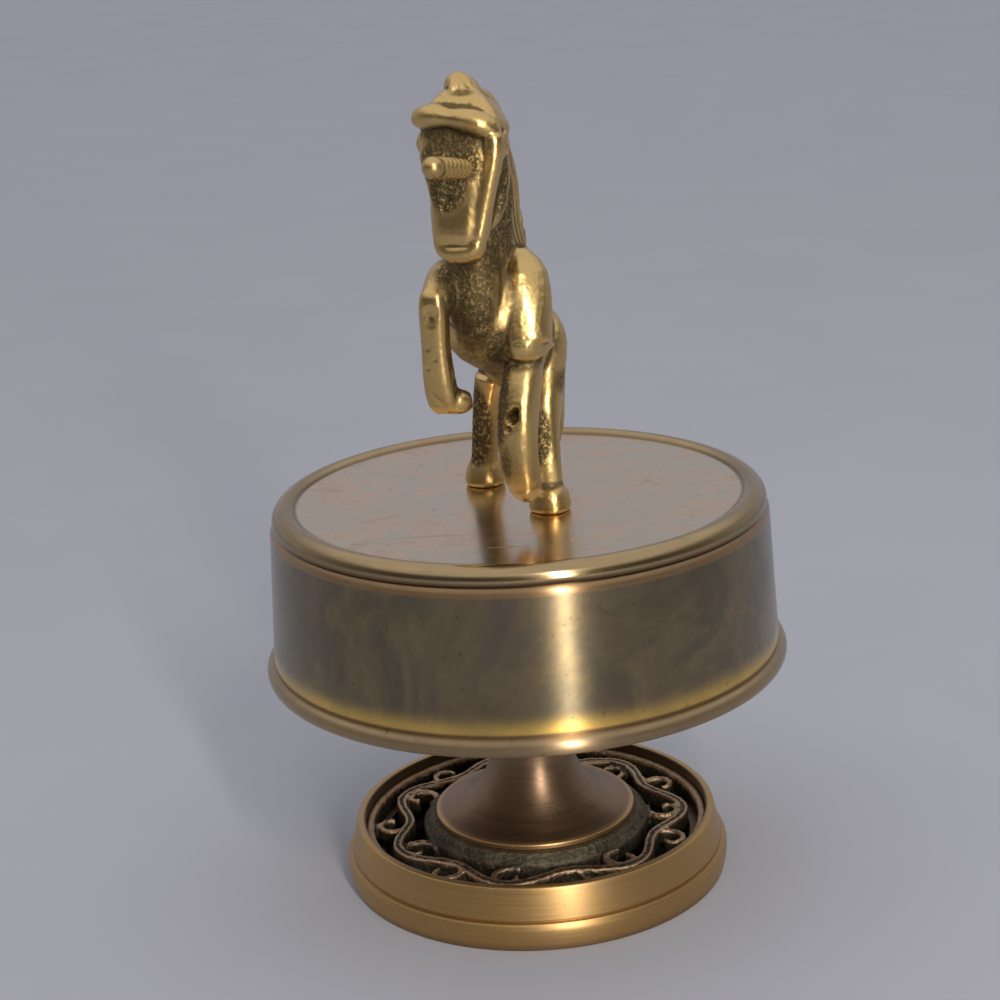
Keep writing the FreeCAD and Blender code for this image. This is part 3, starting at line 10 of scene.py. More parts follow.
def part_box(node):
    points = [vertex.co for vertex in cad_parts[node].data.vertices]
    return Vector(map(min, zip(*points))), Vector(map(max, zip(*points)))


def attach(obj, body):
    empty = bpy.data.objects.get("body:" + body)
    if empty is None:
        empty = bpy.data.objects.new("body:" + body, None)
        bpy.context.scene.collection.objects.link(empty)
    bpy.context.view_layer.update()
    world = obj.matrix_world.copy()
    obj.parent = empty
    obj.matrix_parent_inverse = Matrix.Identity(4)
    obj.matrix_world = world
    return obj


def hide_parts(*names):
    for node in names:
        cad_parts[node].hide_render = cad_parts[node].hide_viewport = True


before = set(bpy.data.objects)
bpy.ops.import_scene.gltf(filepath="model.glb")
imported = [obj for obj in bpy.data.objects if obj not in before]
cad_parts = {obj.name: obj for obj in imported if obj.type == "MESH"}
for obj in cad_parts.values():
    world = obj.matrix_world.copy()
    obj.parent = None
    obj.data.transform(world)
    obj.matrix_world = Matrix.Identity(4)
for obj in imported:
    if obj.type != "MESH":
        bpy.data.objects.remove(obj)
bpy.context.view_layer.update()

bl_info = {
    "name": "Carousel music box",
    "version": (1, 0, 0),
    "blender": (4, 5, 0),
    "location": "View3D > Sidebar > Music box",
    "description": "Dresses the solids of a brass carousel music box with a unicorn",
    "category": "Object",
}

# Millimetres are used for shapes, and the scene is in metres
MM = 0.001

# Radius in millimetres at which a turned outline closes on its axis
POLE = 0.0001

# Levels and radii that the solids give, in millimetres
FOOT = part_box("base_ring")[0][2] / MM
BASE_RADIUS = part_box("base_ring")[1][0] / MM
RIM_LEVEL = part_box("base_ring")[1][2] / MM
SCROLL_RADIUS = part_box("scroll_insert")[1][0] / MM
SKIRT_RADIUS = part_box("pedestal")[1][0] / MM
SKIRT_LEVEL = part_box("pedestal")[0][2] / MM
COLLAR_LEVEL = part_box("pedestal")[1][2] / MM
DRUM_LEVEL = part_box("drum_shell")[0][2] / MM
SHOULDER_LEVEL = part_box("drum_shell")[1][2] / MM
COVER_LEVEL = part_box("bottom_cover")[0][2] / MM
PLATE_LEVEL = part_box("unicorn")[0][2] / MM
BEAD_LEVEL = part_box("top_cap")[1][2] / MM


class MusicBoxSizes(bpy.types.PropertyGroup):
    """Sizes of the visible pieces."""

    spin_steps: IntProperty(name="Spin steps", description="Steps round a turned piece", default=192, min=32)
    cast_grain: FloatProperty(name="Cast grain", description="Mesh size of the cast figure", default=0.0003,
                              unit="LENGTH")
    vine_width: FloatProperty(name="Vine width", description="Width of the vine in the base", default=0.0018,
                              unit="LENGTH")
    figure_heading: FloatProperty(name="Figure heading", description="Turn of the unicorn to its right",
                                  default=math.radians(22), subtype="ANGLE")
    lens: FloatProperty(name="Lens", description="Focal length of the camera in millimetres", default=74.726)


class MusicBoxColours(bpy.types.PropertyGroup):
    """Colours of the finishes."""

    satin: FloatVectorProperty(name="Satin brass", description="Turned base ring", subtype="COLOR", size=4,
                               default=(0.55, 0.34, 0.125, 1))
    cast: FloatVectorProperty(name="Cast brass", description="Polish of the unicorn", subtype="COLOR",
                              size=4, default=(0.62, 0.425, 0.17, 1))
    patina: FloatVectorProperty(name="Patina", description="Darkened drum wall", subtype="COLOR", size=4,
                                default=(0.14, 0.103, 0.066, 1))
    plate: FloatVectorProperty(name="Plate", description="Drum's top plate", subtype="COLOR", size=4,
                               default=(0.74, 0.60, 0.46, 1))
    umber: FloatVectorProperty(name="Umber", description="Brown bronze of the pedestal", subtype="COLOR",
                               size=4, default=(0.33, 0.215, 0.135, 1))
    # Dark colour of the vine's blackened metal, also laid inside the base ring's bore as painted shade
    soot_and_shade: FloatVectorProperty(name="Soot", description="Blackened recesses", subtype="COLOR", size=4,
                              default=(0.045, 0.038, 0.028, 1))
    floor: FloatVectorProperty(name="Floor", description="Pale floor", subtype="COLOR", size=4,
                               default=(0.39, 0.395, 0.44, 1))


# Selecting and finishing
def deselect():
    """Object mode with nothing selected."""
    if bpy.context.object and bpy.context.object.mode != "OBJECT":
        bpy.ops.object.mode_set(mode="OBJECT")
    bpy.ops.object.select_all(action="DESELECT")


def select_only(*pieces):
    """Selects these pieces, the last of them active."""
    deselect()
    for piece in pieces:
        piece.select_set(True)
    bpy.context.view_layer.objects.active = pieces[-1]


def joined(name, pieces):
    """The pieces as one mesh object."""
    select_only(*pieces)
    bpy.ops.object.join()
    piece = bpy.context.object
    piece.name = name
    piece.data.name = name
    return piece


def modify(piece, kind, **settings):
    """Adds a modifier with these settings and applies it."""
    select_only(piece)
    modifier = piece.modifiers.new(kind.title(), kind)
    for setting, number in settings.items():
        setattr(modifier, setting, number)
    bpy.ops.object.modifier_apply(modifier=modifier.name)


def settle(piece, body, slot, material, *nodes):
    """Gives a finished piece its material and its body, and hides the nodes that it stands for; the slot is
    not used.
    """
    piece.data.materials.clear()
    piece.data.materials.append(material)
    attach(piece, body)
    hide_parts(*nodes)
    deselect()


# Turned pieces
def eased(corners, pieces=5):
    """An outline whose corners (radius, height, rounding) are drawn as small arcs."""
    drawn = []
    for place, corner in enumerate(corners):
        spot = Vector(corner[:2])
        if len(corner) == 2:
            drawn.append(tuple(spot))
            continue
        before = Vector(corners[place - 1][:2]) - spot
        after = Vector(corners[(place + 1) % len(corners)][:2]) - spot
        reach = min(corner[2], before.length / 2.05, after.length / 2.05)
        start = spot + before.normalized() * reach
        end = spot + after.normalized() * reach
        for step in range(pieces + 1):
            share = step / pieces
            drawn.append(tuple(start * (1 - share) ** 2 + spot * 2 * share * (1 - share) + end * share ** 2))
    return drawn


def bow(start, end, rise, pieces=12):
    """Points of a round arc from start to end, which stands out to the right of its chord by rise."""
    start, end = Vector(start), Vector(end)
    chord = end - start
    side = Vector((chord.y, -chord.x)).normalized()
    half = chord.length / 2
    radius = (half ** 2 + rise ** 2) / (2 * abs(rise))
    centre = (start + end) / 2 + side * (rise - math.copysign(radius, rise))
    first = start - centre
    turn = 2 * math.asin(min(1, half / radius)) * math.copysign(1, rise)
    points = []
    for step in range(pieces + 1):
        angle = turn * step / pieces
        points.append((centre.x + first.x * math.cos(angle) - first.y * math.sin(angle),
                       centre.y + first.x * math.sin(angle) + first.y * math.cos(angle)))
    return points


def turned(name, outline, steps):
    """A piece spun round the upright axis from a closed outline of (radius, height) in millimetres."""
    deselect()
    bpy.ops.mesh.primitive_plane_add(size=MM)
    piece = bpy.context.object
    piece.name = name
    bpy.ops.object.mode_set(mode="EDIT")
    bpy.ops.mesh.merge(type="CENTER")
    place = Vector((0, 0))
    for corner in outline + outline[:1]:
        step = Vector(corner) - place
        move = {"value": (step.x * MM, 0, step.y * MM)}
        if place.length:
            bpy.ops.mesh.extrude_region_move(TRANSFORM_OT_translate=move)
        else:
            bpy.ops.transform.translate(**move)
        place = Vector(corner)
    bpy.ops.mesh.select_all(action="SELECT")
    bpy.ops.mesh.spin(steps=steps, angle=math.tau, center=(0, 0, 0), axis=(0, 0, 1))
    bpy.ops.mesh.select_all(action="SELECT")
    bpy.ops.mesh.remove_doubles(threshold=MM / 1000)
    bpy.ops.mesh.normals_make_consistent(inside=False)
    bpy.ops.object.mode_set(mode="OBJECT")
    bpy.ops.object.shade_smooth_by_angle(angle=math.radians(38))
    return piece


# Cast pieces
def limb(stations, square=2.0, sides=24):
    """A closed limb through oval stations: (left, back, up, half width, half depth) in millimetres."""
    deselect()
    bpy.ops.mesh.primitive_circle_add(vertices=sides, radius=1, fill_type="NGON")
    piece = bpy.context.object
    bpy.ops.object.mode_set(mode="EDIT")
    mesh = bmesh.from_edit_mesh(piece.data)
    for vertex in mesh.verts:
        across, deep = vertex.co.x, vertex.co.y
        reach = (abs(across) ** square + abs(deep) ** square) ** (-1 / square)
        vertex.co = (across * reach, deep * reach, 0)
    centres = [Vector(station[:3]) for station in stations]
    place_before = Matrix.Identity(4)
    width_before = None
    for place, station in enumerate(stations):
        if place:
            bpy.ops.mesh.extrude_region()
            mesh = bmesh.from_edit_mesh(piece.data)
        along = centres[min(place + 1, len(centres) - 1)] - centres[max(place - 1, 0)]
        along.normalize()
        width = along.cross(Vector((0, 0, 1)))
        if width.length < 0.3:
            width = Vector((1, 0, 0)) - along * along.x
        width.normalize()
        if width_before and width.dot(width_before) < 0:
            width.negate()
        width_before = width
        deep = along.cross(width)
        frame_here = Matrix.Identity(4)
        for row in range(3):
            frame_here[row] = (width[row] * station[3] * MM, deep[row] * station[4] * MM, along[row],
                               centres[place][row] * MM)
        ring = [vertex for vertex in mesh.verts if vertex.select]
        bmesh.ops.transform(mesh, matrix=frame_here @ place_before.inverted(), verts=ring)
        place_before = frame_here
    bmesh.update_edit_mesh(piece.data)
    bpy.ops.mesh.select_all(action="SELECT")
    bpy.ops.mesh.normals_make_consistent(inside=False)
    bpy.ops.object.mode_set(mode="OBJECT")
    return piece


def strand(points, radius, sides=10):
    """A thin round limb through points, drawn in at both ends."""
    stations = []
    for place, point in enumerate(points):
        share = 0.45 if place in (0, len(points) - 1) else 1.0
        stations.append((*point, radius * share, radius * share))
    return limb(smooth_path(stations), sides=sides)


def smooth_path(stations, pieces=3):
    """Stations with more between them, on a smooth curve through the given ones."""
    rows = [numpy.array(station, float) for station in stations]
    path = []
    for place in range(len(rows) - 1):
        before = rows[max(place - 1, 0)]
        start, end = rows[place], rows[place + 1]
        after = rows[min(place + 2, len(rows) - 1)]
        for step in range(pieces):
            share = step / pieces
            curve = 2 * before - 5 * start + 4 * end - after
            twist = 3 * start - before - 3 * end + after
            path.append(0.5 * (2 * start + (end - before) * share + curve * share ** 2 + twist * share ** 3))
    path.append(rows[-1])
    return [tuple(row) for row in path]


def cast(name, pieces, grain):
    """One closed casting of all the pieces, with softened creases."""
    piece = joined(name, pieces)
    modify(piece, "REMESH", mode="VOXEL", voxel_size=grain, use_smooth_shade=True)
    modify(piece, "SMOOTH", factor=0.5, iterations=3)
    return piece


def vertex_rows(piece):
    """The vertices of a piece as rows of millimetres."""
    rows = numpy.empty(len(piece.data.vertices) * 3)
    piece.data.vertices.foreach_get("co", rows)
    return rows.reshape(-1, 3) / MM


def spread(rows, spots):
    """How near each vertex is to spots (centre, radius), from 0 to 1."""
    nearness = numpy.zeros(len(rows))
    for centre, radius in spots:
        away = numpy.linalg.norm((rows - numpy.array(centre)) / numpy.array(radius), axis=1)
        nearness = numpy.maximum(nearness, numpy.clip(1.6 * (1 - away), 0, 1))
    return nearness


def roughen(piece, weights, size, strength):
    """Lifts and sinks the surface by a cloudy pattern, where the weights say."""
    group = piece.vertex_groups.new(name="rough")
    for level in range(1, 11):
        chosen = numpy.nonzero(numpy.ceil(weights * 10 - 0.001).astype(int) == level)[0]
        if len(chosen):
            group.add(chosen.tolist(), level / 10, "REPLACE")
    pattern = bpy.data.textures.new(piece.name + "_rough", "CLOUDS")
    pattern.noise_scale = size * MM
    pattern.noise_depth = 2
    modify(piece, "DISPLACE", texture=pattern, texture_coords="LOCAL", strength=strength * MM, mid_level=0.5,
           vertex_group="rough")
    piece.vertex_groups.remove(piece.vertex_groups["rough"])


def press(piece, spots):
    """Presses small pits into the surface: (centre, radius, depth) in millimetres."""
    rows = vertex_rows(piece)
    normals = numpy.empty(len(rows) * 3)
    piece.data.vertices.foreach_get("normal", normals)
    normals = normals.reshape(-1, 3)
    moved = rows.copy()
    for centre, radius, depth in spots:
        away = numpy.linalg.norm(rows - numpy.array(centre), axis=1) / radius
        push = depth * numpy.clip(1 - away ** 2, 0, 1) ** 0.7
        moved -= normals * push[:, None]
    piece.data.vertices.foreach_set("co", (moved * MM).ravel())
    piece.data.update()


def mark_recesses(piece, rounds=24, reach=0.45):
    """Stores how deep each vertex lies below its neighbourhood, as the attribute recess: 0.5 is level."""
    mesh = piece.data
    rows = vertex_rows(piece)
    edges = numpy.empty(len(mesh.edges) * 2, dtype=int)
    mesh.edges.foreach_get("vertices", edges)
    first, second = edges.reshape(-1, 2).T
    count = numpy.bincount(first, minlength=len(rows)) + numpy.bincount(second, minlength=len(rows))
    count = numpy.maximum(count, 1)
    level = rows.copy()
    for turn in range(rounds):
        total = numpy.empty_like(level)
        for axis in range(3):
            total[:, axis] = numpy.bincount(first, level[second, axis], len(rows))
            total[:, axis] += numpy.bincount(second, level[first, axis], len(rows))
        level = total / count[:, None]
    normals = numpy.empty(len(rows) * 3)
    mesh.vertices.foreach_get("normal", normals)
    depth = numpy.einsum("ij,ij->i", level - rows, normals.reshape(-1, 3))
    store(piece, "recess", numpy.clip(0.5 + 0.5 * depth / reach, 0, 1))


def store(piece, name, numbers):
    """Keeps a number for each vertex as an attribute that a material can read."""
    attribute = piece.data.attributes.new(name, "FLOAT", "POINT")
    attribute.data.foreach_set("value", numbers.astype(numpy.float32))


# Shader node groups
def new_group(name, inputs, outputs):
    """An empty shader node group with these value inputs and outputs."""
    group = bpy.data.node_groups.new(name, "ShaderNodeTree")
    for socket, default in inputs:
        made = group.interface.new_socket(socket, in_out="INPUT", socket_type="NodeSocketFloat")
        made.default_value = default
    for socket in outputs:
        group.interface.new_socket(socket, in_out="OUTPUT", socket_type="NodeSocketFloat")
    return group, group.nodes.new("NodeGroupInput"), group.nodes.new("NodeGroupOutput")


def wire(tree, source, target):
    """Links two sockets."""
    tree.links.new(source, target)


def math_node(tree, operation, first, second=None, clamp=False):
    """A math node on sockets or numbers, and its result."""
    made = tree.nodes.new("ShaderNodeMath")
    made.operation = operation
    made.use_clamp = clamp
    for place, source in enumerate((first, second)):
        if source is None:
            continue
        if isinstance(source, (int, float)):
            made.inputs[place].default_value = source
        else:
            wire(tree, source, made.inputs[place])
    return made.outputs[0]


def times(tree, first, second, clamp=False):
    """The product of two sockets or numbers."""
    return math_node(tree, "MULTIPLY", first, second, clamp)


def plus(tree, first, second, clamp=False):
    """The sum of two sockets or numbers."""
    return math_node(tree, "ADD", first, second, clamp)


def minus(tree, first, second, clamp=False):
    """The first socket or number less the second."""
    return math_node(tree, "SUBTRACT", first, second, clamp)


def greater(tree, first, second, clamp=False):
    """The greater of two sockets or numbers."""
    return math_node(tree, "MAXIMUM", first, second, clamp)


def scaled(tree, value, gain, start, clamp=False):
    """A value times a gain, on top of a start."""
    return plus(tree, times(tree, value, gain), start, clamp)


def noise_node(tree, vector, scale, detail=3.0, roughness=0.55, distortion=0.0):
    """A noise texture, and its value."""
    made = tree.nodes.new("ShaderNodeTexNoise")
    made.inputs["Detail"].default_value = detail
    made.inputs["Roughness"].default_value = roughness
    made.inputs["Distortion"].default_value = distortion
    wire(tree, vector, made.inputs["Vector"])
    if isinstance(scale, (int, float)):
        made.inputs["Scale"].default_value = scale
    else:
        wire(tree, scale, made.inputs["Scale"])
    return made.outputs["Fac"]


def ramp_node(tree, value, stops):
    """A colour ramp: stops are (place, colour)."""
    made = tree.nodes.new("ShaderNodeValToRGB")
    ramp = made.color_ramp
    while len(ramp.elements) < len(stops):
        ramp.elements.new(0.5)
    for element, (place, colour) in zip(ramp.elements, stops):
        element.position = place
        element.color = tuple(colour)[:3] + (1,)
    wire(tree, value, made.inputs["Fac"])
    return made.outputs["Color"]


def mix_node(tree, share, first, second):
    """A colour mix of two colours or sockets."""
    made = tree.nodes.new("ShaderNodeMix")
    made.data_type = "RGBA"
    for socket, source in ((made.inputs[0], share), (made.inputs[6], first), (made.inputs[7], second)):
        if hasattr(source, "is_output"):
            wire(tree, source, socket)
        else:
            socket.default_value = source if isinstance(source, (int, float)) else tuple(source)[:3] + (1,)
    return made.outputs[2]


def veiled(tree, mask, strength, under, over):
    """A colour laid over another where the mask says, at this strength."""
    return mix_node(tree, times(tree, mask, strength), under, over)


def attribute_node(tree, name):
    """The number that the piece keeps under this name."""
    made = tree.nodes.new("ShaderNodeAttribute")
    made.attribute_name = name
    return made.outputs["Fac"]


def object_place(tree):
    """The place on the piece, in metres."""
    return tree.nodes.new("ShaderNodeTexCoord").outputs["Object"]


def split(tree, vector):
    """The X, Y and Z of a vector."""
    made = tree.nodes.new("ShaderNodeSeparateXYZ")
    wire(tree, vector, made.inputs[0])
    return made.outputs


def combine(tree, x, y, z):
    """A vector from sockets or numbers."""
    made = tree.nodes.new("ShaderNodeCombineXYZ")
    for place, source in enumerate((x, y, z)):
        if isinstance(source, (int, float)):
            made.inputs[place].default_value = source
        else:
            wire(tree, source, made.inputs[place])
    return made.outputs[0]


def axis_distance(tree, parts):
    """Distance from the upright axis."""
    square = plus(tree, times(tree, parts[0], parts[0]), times(tree, parts[1], parts[1]))
    return math_node(tree, "SQRT", square)


def turning_marks_group():
    """Fine lines that run round the axis, as a lathe or a brush leaves them."""
    group, inside, outside = new_group("turning marks", [("Lines", 4000.0), ("Waver", 60.0)], ["Marks"])
    place = object_place(group)
    parts = split(group, place)
    radius = axis_distance(group, parts)
    waver = times(group, noise_node(group, place, inside.outputs["Waver"], detail=2.0), 1.2 * MM)
    along = combine(group, plus(group, radius, waver), plus(group, parts[2], waver), 0.0)
    fine = noise_node(group, along, inside.outputs["Lines"], detail=4.0, roughness=0.7)
    wire(group, fine, outside.inputs["Marks"])
    return group


def tarnish_group():
    """Cloudy stains in two sizes."""
    group, inside, outside = new_group("tarnish", [("Size", 60.0), ("Cover", 0.5)], ["Stain", "Speck"])
    place = object_place(group)
    cloud = noise_node(group, place, inside.outputs["Size"], detail=6.0, roughness=0.62, distortion=0.6)
    fine = noise_node(group, place, times(group, inside.outputs["Size"], 9.0), detail=5.0, roughness=0.7)
    blend = plus(group, times(group, cloud, 0.72), times(group, fine, 0.28))
    edge = minus(group, blend, minus(group, 1.0, inside.outputs["Cover"]))
    stain = scaled(group, edge, 4.0, 0.5, clamp=True)
    wire(group, stain, outside.inputs["Stain"])
    dots = noise_node(group, place, times(group, inside.outputs["Size"], 26.0), detail=2.0, roughness=0.5)
    speck = times(group, minus(group, dots, 0.66), 9.0, clamp=True)
    wire(group, speck, outside.inputs["Speck"])
    return group


def grit_group():
    """The pitted skin of a sand casting: heights, and a mask of its worn grains."""
    group, inside, outside = new_group("casting grit", [("Grain", 1500.0)], ["Height", "Sparkle"])
    place = object_place(group)
    cells = group.nodes.new("ShaderNodeTexVoronoi")
    wire(group, place, cells.inputs["Vector"])
    wire(group, inside.outputs["Grain"], cells.inputs["Scale"])
    soft = noise_node(group, place, times(group, inside.outputs["Grain"], 0.7), detail=5.0, roughness=0.7)
    height = minus(group, soft, times(group, cells.outputs["Distance"], 0.3))
    wire(group, height, outside.inputs["Height"])
    sparkle = times(group, minus(group, soft, 0.5), 9.0, clamp=True)
    wire(group, sparkle, outside.inputs["Sparkle"])
    return group


def scratches_group():
    """Short fine scratches in three directions."""
    group, inside, outside = new_group("scratches", [("Size", 500.0)], ["Scratch"])
    place = object_place(group)
    total = None
    for turn in (0.3, 1.5, 2.6):
        mapping = group.nodes.new("ShaderNodeMapping")
        mapping.inputs["Rotation"].default_value = (0.0, 0.0, turn)
        mapping.inputs["Scale"].default_value = (0.16, 1.6, 1.6)
        wire(group, place, mapping.inputs["Vector"])
        line = noise_node(group, mapping.outputs[0], inside.outputs["Size"], detail=1.0, roughness=0.4,
                          distortion=0.3)
        line = times(group, minus(group, line, 0.74), 14.0, clamp=True)
        total = line if total is None else greater(group, total, line)
    wire(group, total, outside.inputs["Scratch"])
    return group


class Effects:
    """The shared node groups, made on first use."""

    makers = {
        "turning": turning_marks_group,
        "tarnish": tarnish_group,
        "grit": grit_group,
        "scratches": scratches_group,
    }
    made = {}

    @classmethod
    def place(cls, tree, effect, **numbers):
        """Places a group in a material with these input values, and gives its outputs."""
        if effect not in cls.made:
            cls.made[effect] = cls.makers[effect]()
        node = tree.nodes.new("ShaderNodeGroup")
        node.node_tree = cls.made[effect]
        for socket, number in numbers.items():
            node.inputs[socket.title()].default_value = number
        return node.outputs


# Tints that the finishes set against their main colours
DARK_SPECK = (0.06, 0.04, 0.02)
BLACK_SPECK = (0.02, 0.015, 0.01)
COPPER_EDGE = (0.66, 0.42, 0.19)
VINE_GRIME = (0.13, 0.118, 0.084)
VINE_GRAIN = (0.30, 0.26, 0.14)
VINE_COPPER = ((0.52, 0.32, 0.19), (0.62, 0.44, 0.28))
WALL_HUES = [(0.30, (0.17, 0.14, 0.115)), (0.44, (0.28, 0.21, 0.11)), (0.55, (0.17, 0.15, 0.095)),
             (0.70, (0.28, 0.18, 0.115))]
# Painted glow at the foot of the drum wall
PAINTED_FOOT_GLOW = (0.88, 0.57, 0.14)
WALL_SPECK = (0.05, 0.035, 0.02)
FLANGE_BROWN = ((0.30, 0.21, 0.105), (0.48, 0.345, 0.175))
FLANGE_STAIN = (0.26, 0.17, 0.105)
SHOULDER_COPPER = (0.40, 0.235, 0.105)
PLATE_HUES = [(0.45, (0.82, 0.58, 0.40)), (0.55, (0.64, 0.60, 0.46)), (0.68, (0.82, 0.53, 0.37))]
BEAD_GOLD = ((0.29, 0.20, 0.10), (0.48, 0.355, 0.19))
BEAD_STAIN = (0.27, 0.19, 0.11)
# Painted shade for the bead's lower face and for the crease where the plate meets the bead
BEAD_FOOT_SHADE = (0.10, 0.055, 0.03)
JOIN_SHADE = (0.08, 0.06, 0.04)
WORN_CAST = (0.54, 0.38, 0.15)
# Dark colour for dirt and painted shade on the cast figure
CAST_DIRT_AND_SHADE = (0.064, 0.047, 0.025)
FELT_GREEN = ((0.015, 0.045, 0.03), (0.05, 0.11, 0.075))


# Materials
def new_metal(name, roughness, metallic=1.0, brushed=0.0):
    """A material, its tree and its shader; a brushed one shines across its turning marks."""
    material = bpy.data.materials.new(name)
    material.use_nodes = True
    tree = material.node_tree
    shader = tree.nodes["Principled BSDF"]
    shader.inputs["Metallic"].default_value = metallic
    shader.inputs["Roughness"].default_value = roughness
    if brushed:
        shader.inputs["Anisotropic"].default_value = brushed
        shader.inputs["Anisotropic Rotation"].default_value = 0.25
        tangent = tree.nodes.new("ShaderNodeTangent")
        tangent.direction_type = "RADIAL"
        tangent.axis = "Z"
        wire(tree, tangent.outputs[0], shader.inputs["Tangent"])
    return material, tree, shader


def bump(tree, shader, height, strength, distance):
    """Feeds a height into the shader's normal, distance in millimetres."""
    made = tree.nodes.new("ShaderNodeBump")
    made.inputs["Strength"].default_value = strength
    made.inputs["Distance"].default_value = distance * MM
    wire(tree, height, made.inputs["Height"])
    wire(tree, made.outputs["Normal"], shader.inputs["Normal"])


def between(tree, value, low, high):
    """A smooth share from 0 at low to 1 at high."""
    made = tree.nodes.new("ShaderNodeMapRange")
    made.interpolation_type = "SMOOTHSTEP"
    made.inputs["From Min"].default_value = low
    made.inputs["From Max"].default_value = high
    wire(tree, value, made.inputs["Value"])
    return made.outputs["Result"]


def banded(tree, value, rise, fall):
    """A band that rises and falls again between these pairs of millimetres."""
    return minus(tree, between(tree, value, rise[0] * MM, rise[1] * MM),
                 between(tree, value, fall[0] * MM, fall[1] * MM))


def tinted(colour, gain):
    """A colour made lighter or darker."""
    return tuple(min(1.0, channel * gain) for channel in colour[:3])


def satin_brass(colours):
    """Golden brass with turning marks, painted shade in its groove and inside its bore, and darker towards
    its foot.
    """
    material, tree, shader = new_metal("satin_brass", roughness=0.3, brushed=0.6)
    marks = Effects.place(tree, "turning", lines=2600.0, waver=20.0)["Marks"]
    stains = Effects.place(tree, "tarnish", size=70.0, cover=0.46)
    parts = split(tree, object_place(tree))
    height = parts[2]
    lit = mix_node(tree, marks, tinted(colours.satin, 0.72), tinted(colours.satin, 1.15))
    aged = veiled(tree, stains["Stain"], 0.4, lit, tinted(colours.umber, 1.3))
    # Painted shade in the groove between the roll and the conical band
    groove = banded(tree, height, (4.8, 5.0), (5.3, 5.5))
    ringed = veiled(tree, groove, 0.2, aged, tinted(colours.umber, 0.5))
    low = between(tree, height, 2.0 * MM, 0.0)
    footed = veiled(tree, low, 0.6, ringed, tinted(colours.umber, 0.6))
    # Painted shade inside the bore, on the rim's inner wall and ledge
    bore = between(tree, axis_distance(tree, parts), (BASE_RADIUS - 3.2) * MM, (BASE_RADIUS - 3.6) * MM)
    inside = veiled(tree, bore, 0.8, footed, tinted(colours.soot_and_shade, 1.6))
    specked = veiled(tree, stains["Speck"], 0.35, inside, DARK_SPECK)
    wire(tree, specked, shader.inputs["Base Color"])
    rough = scaled(tree, marks, 0.18, 0.32)
    wire(tree, rough, shader.inputs["Roughness"])
    bump(tree, shader, marks, strength=0.3, distance=0.04)
    return material


def umber_bronze(colours):
    """Brown bronze of the pedestal: brushed round, coppery at its lower edge."""
    material, tree, shader = new_metal("umber_bronze", roughness=0.4, brushed=0.5)
    marks = Effects.place(tree, "turning", lines=1500.0, waver=90.0)["Marks"]
    stains = Effects.place(tree, "tarnish", size=110.0, cover=0.5)
    parts = split(tree, object_place(tree))
    radius = axis_distance(tree, parts)
    lit = mix_node(tree, marks, tinted(colours.umber, 0.65), tinted(colours.umber, 1.35))
    aged = veiled(tree, stains["Stain"], 0.5, lit, tinted(colours.umber, 0.6))
    edge = between(tree, radius, (SKIRT_RADIUS - 1.3) * MM, (SKIRT_RADIUS - 0.1) * MM)
    edged = veiled(tree, edge, 0.8, aged, COPPER_EDGE)
    specks = veiled(tree, stains["Speck"], 0.6, edged, BLACK_SPECK)
    wire(tree, specks, shader.inputs["Base Color"])
    rough = scaled(tree, marks, 0.22, 0.3)
    wire(tree, rough, shader.inputs["Roughness"])
    bump(tree, shader, minus(tree, marks, stains["Speck"]), strength=0.35, distance=0.05)
    return material


def blackened_brass(colours):
    """Blackened casting of the vine: greenish grit, with the rails of the vine worn to copper."""
    material, tree, shader = new_metal("blackened_brass", roughness=0.5)
    grit = Effects.place(tree, "grit", grain=2600.0)
    stains = Effects.place(tree, "tarnish", size=160.0, cover=0.5)
    parts = split(tree, object_place(tree))
    worn = attribute_node(tree, "recess")
    ridge = between(tree, worn, 0.44, 0.26)
    high = between(tree, parts[2], 7.9 * MM, 8.5 * MM)
    vine = between(tree, axis_distance(tree, parts), 20.9 * MM, 21.4 * MM)
    dark = mix_node(tree, stains["Stain"], colours.soot_and_shade, VINE_GRIME)
    gritty = veiled(tree, grit["Sparkle"], 0.28, dark, VINE_GRAIN)
    copper = mix_node(tree, stains["Stain"], *VINE_COPPER)
    share = times(tree, times(tree, ridge, high), scaled(tree, vine, 0.85, 0.1))
    edged = mix_node(tree, share, gritty, copper)
    wire(tree, edged, shader.inputs["Base Color"])
    rough = minus(tree, 0.6, times(tree, share, 0.25))
    wire(tree, rough, shader.inputs["Roughness"])
    bump(tree, shader, grit["Height"], strength=0.8, distance=0.2)
    return material


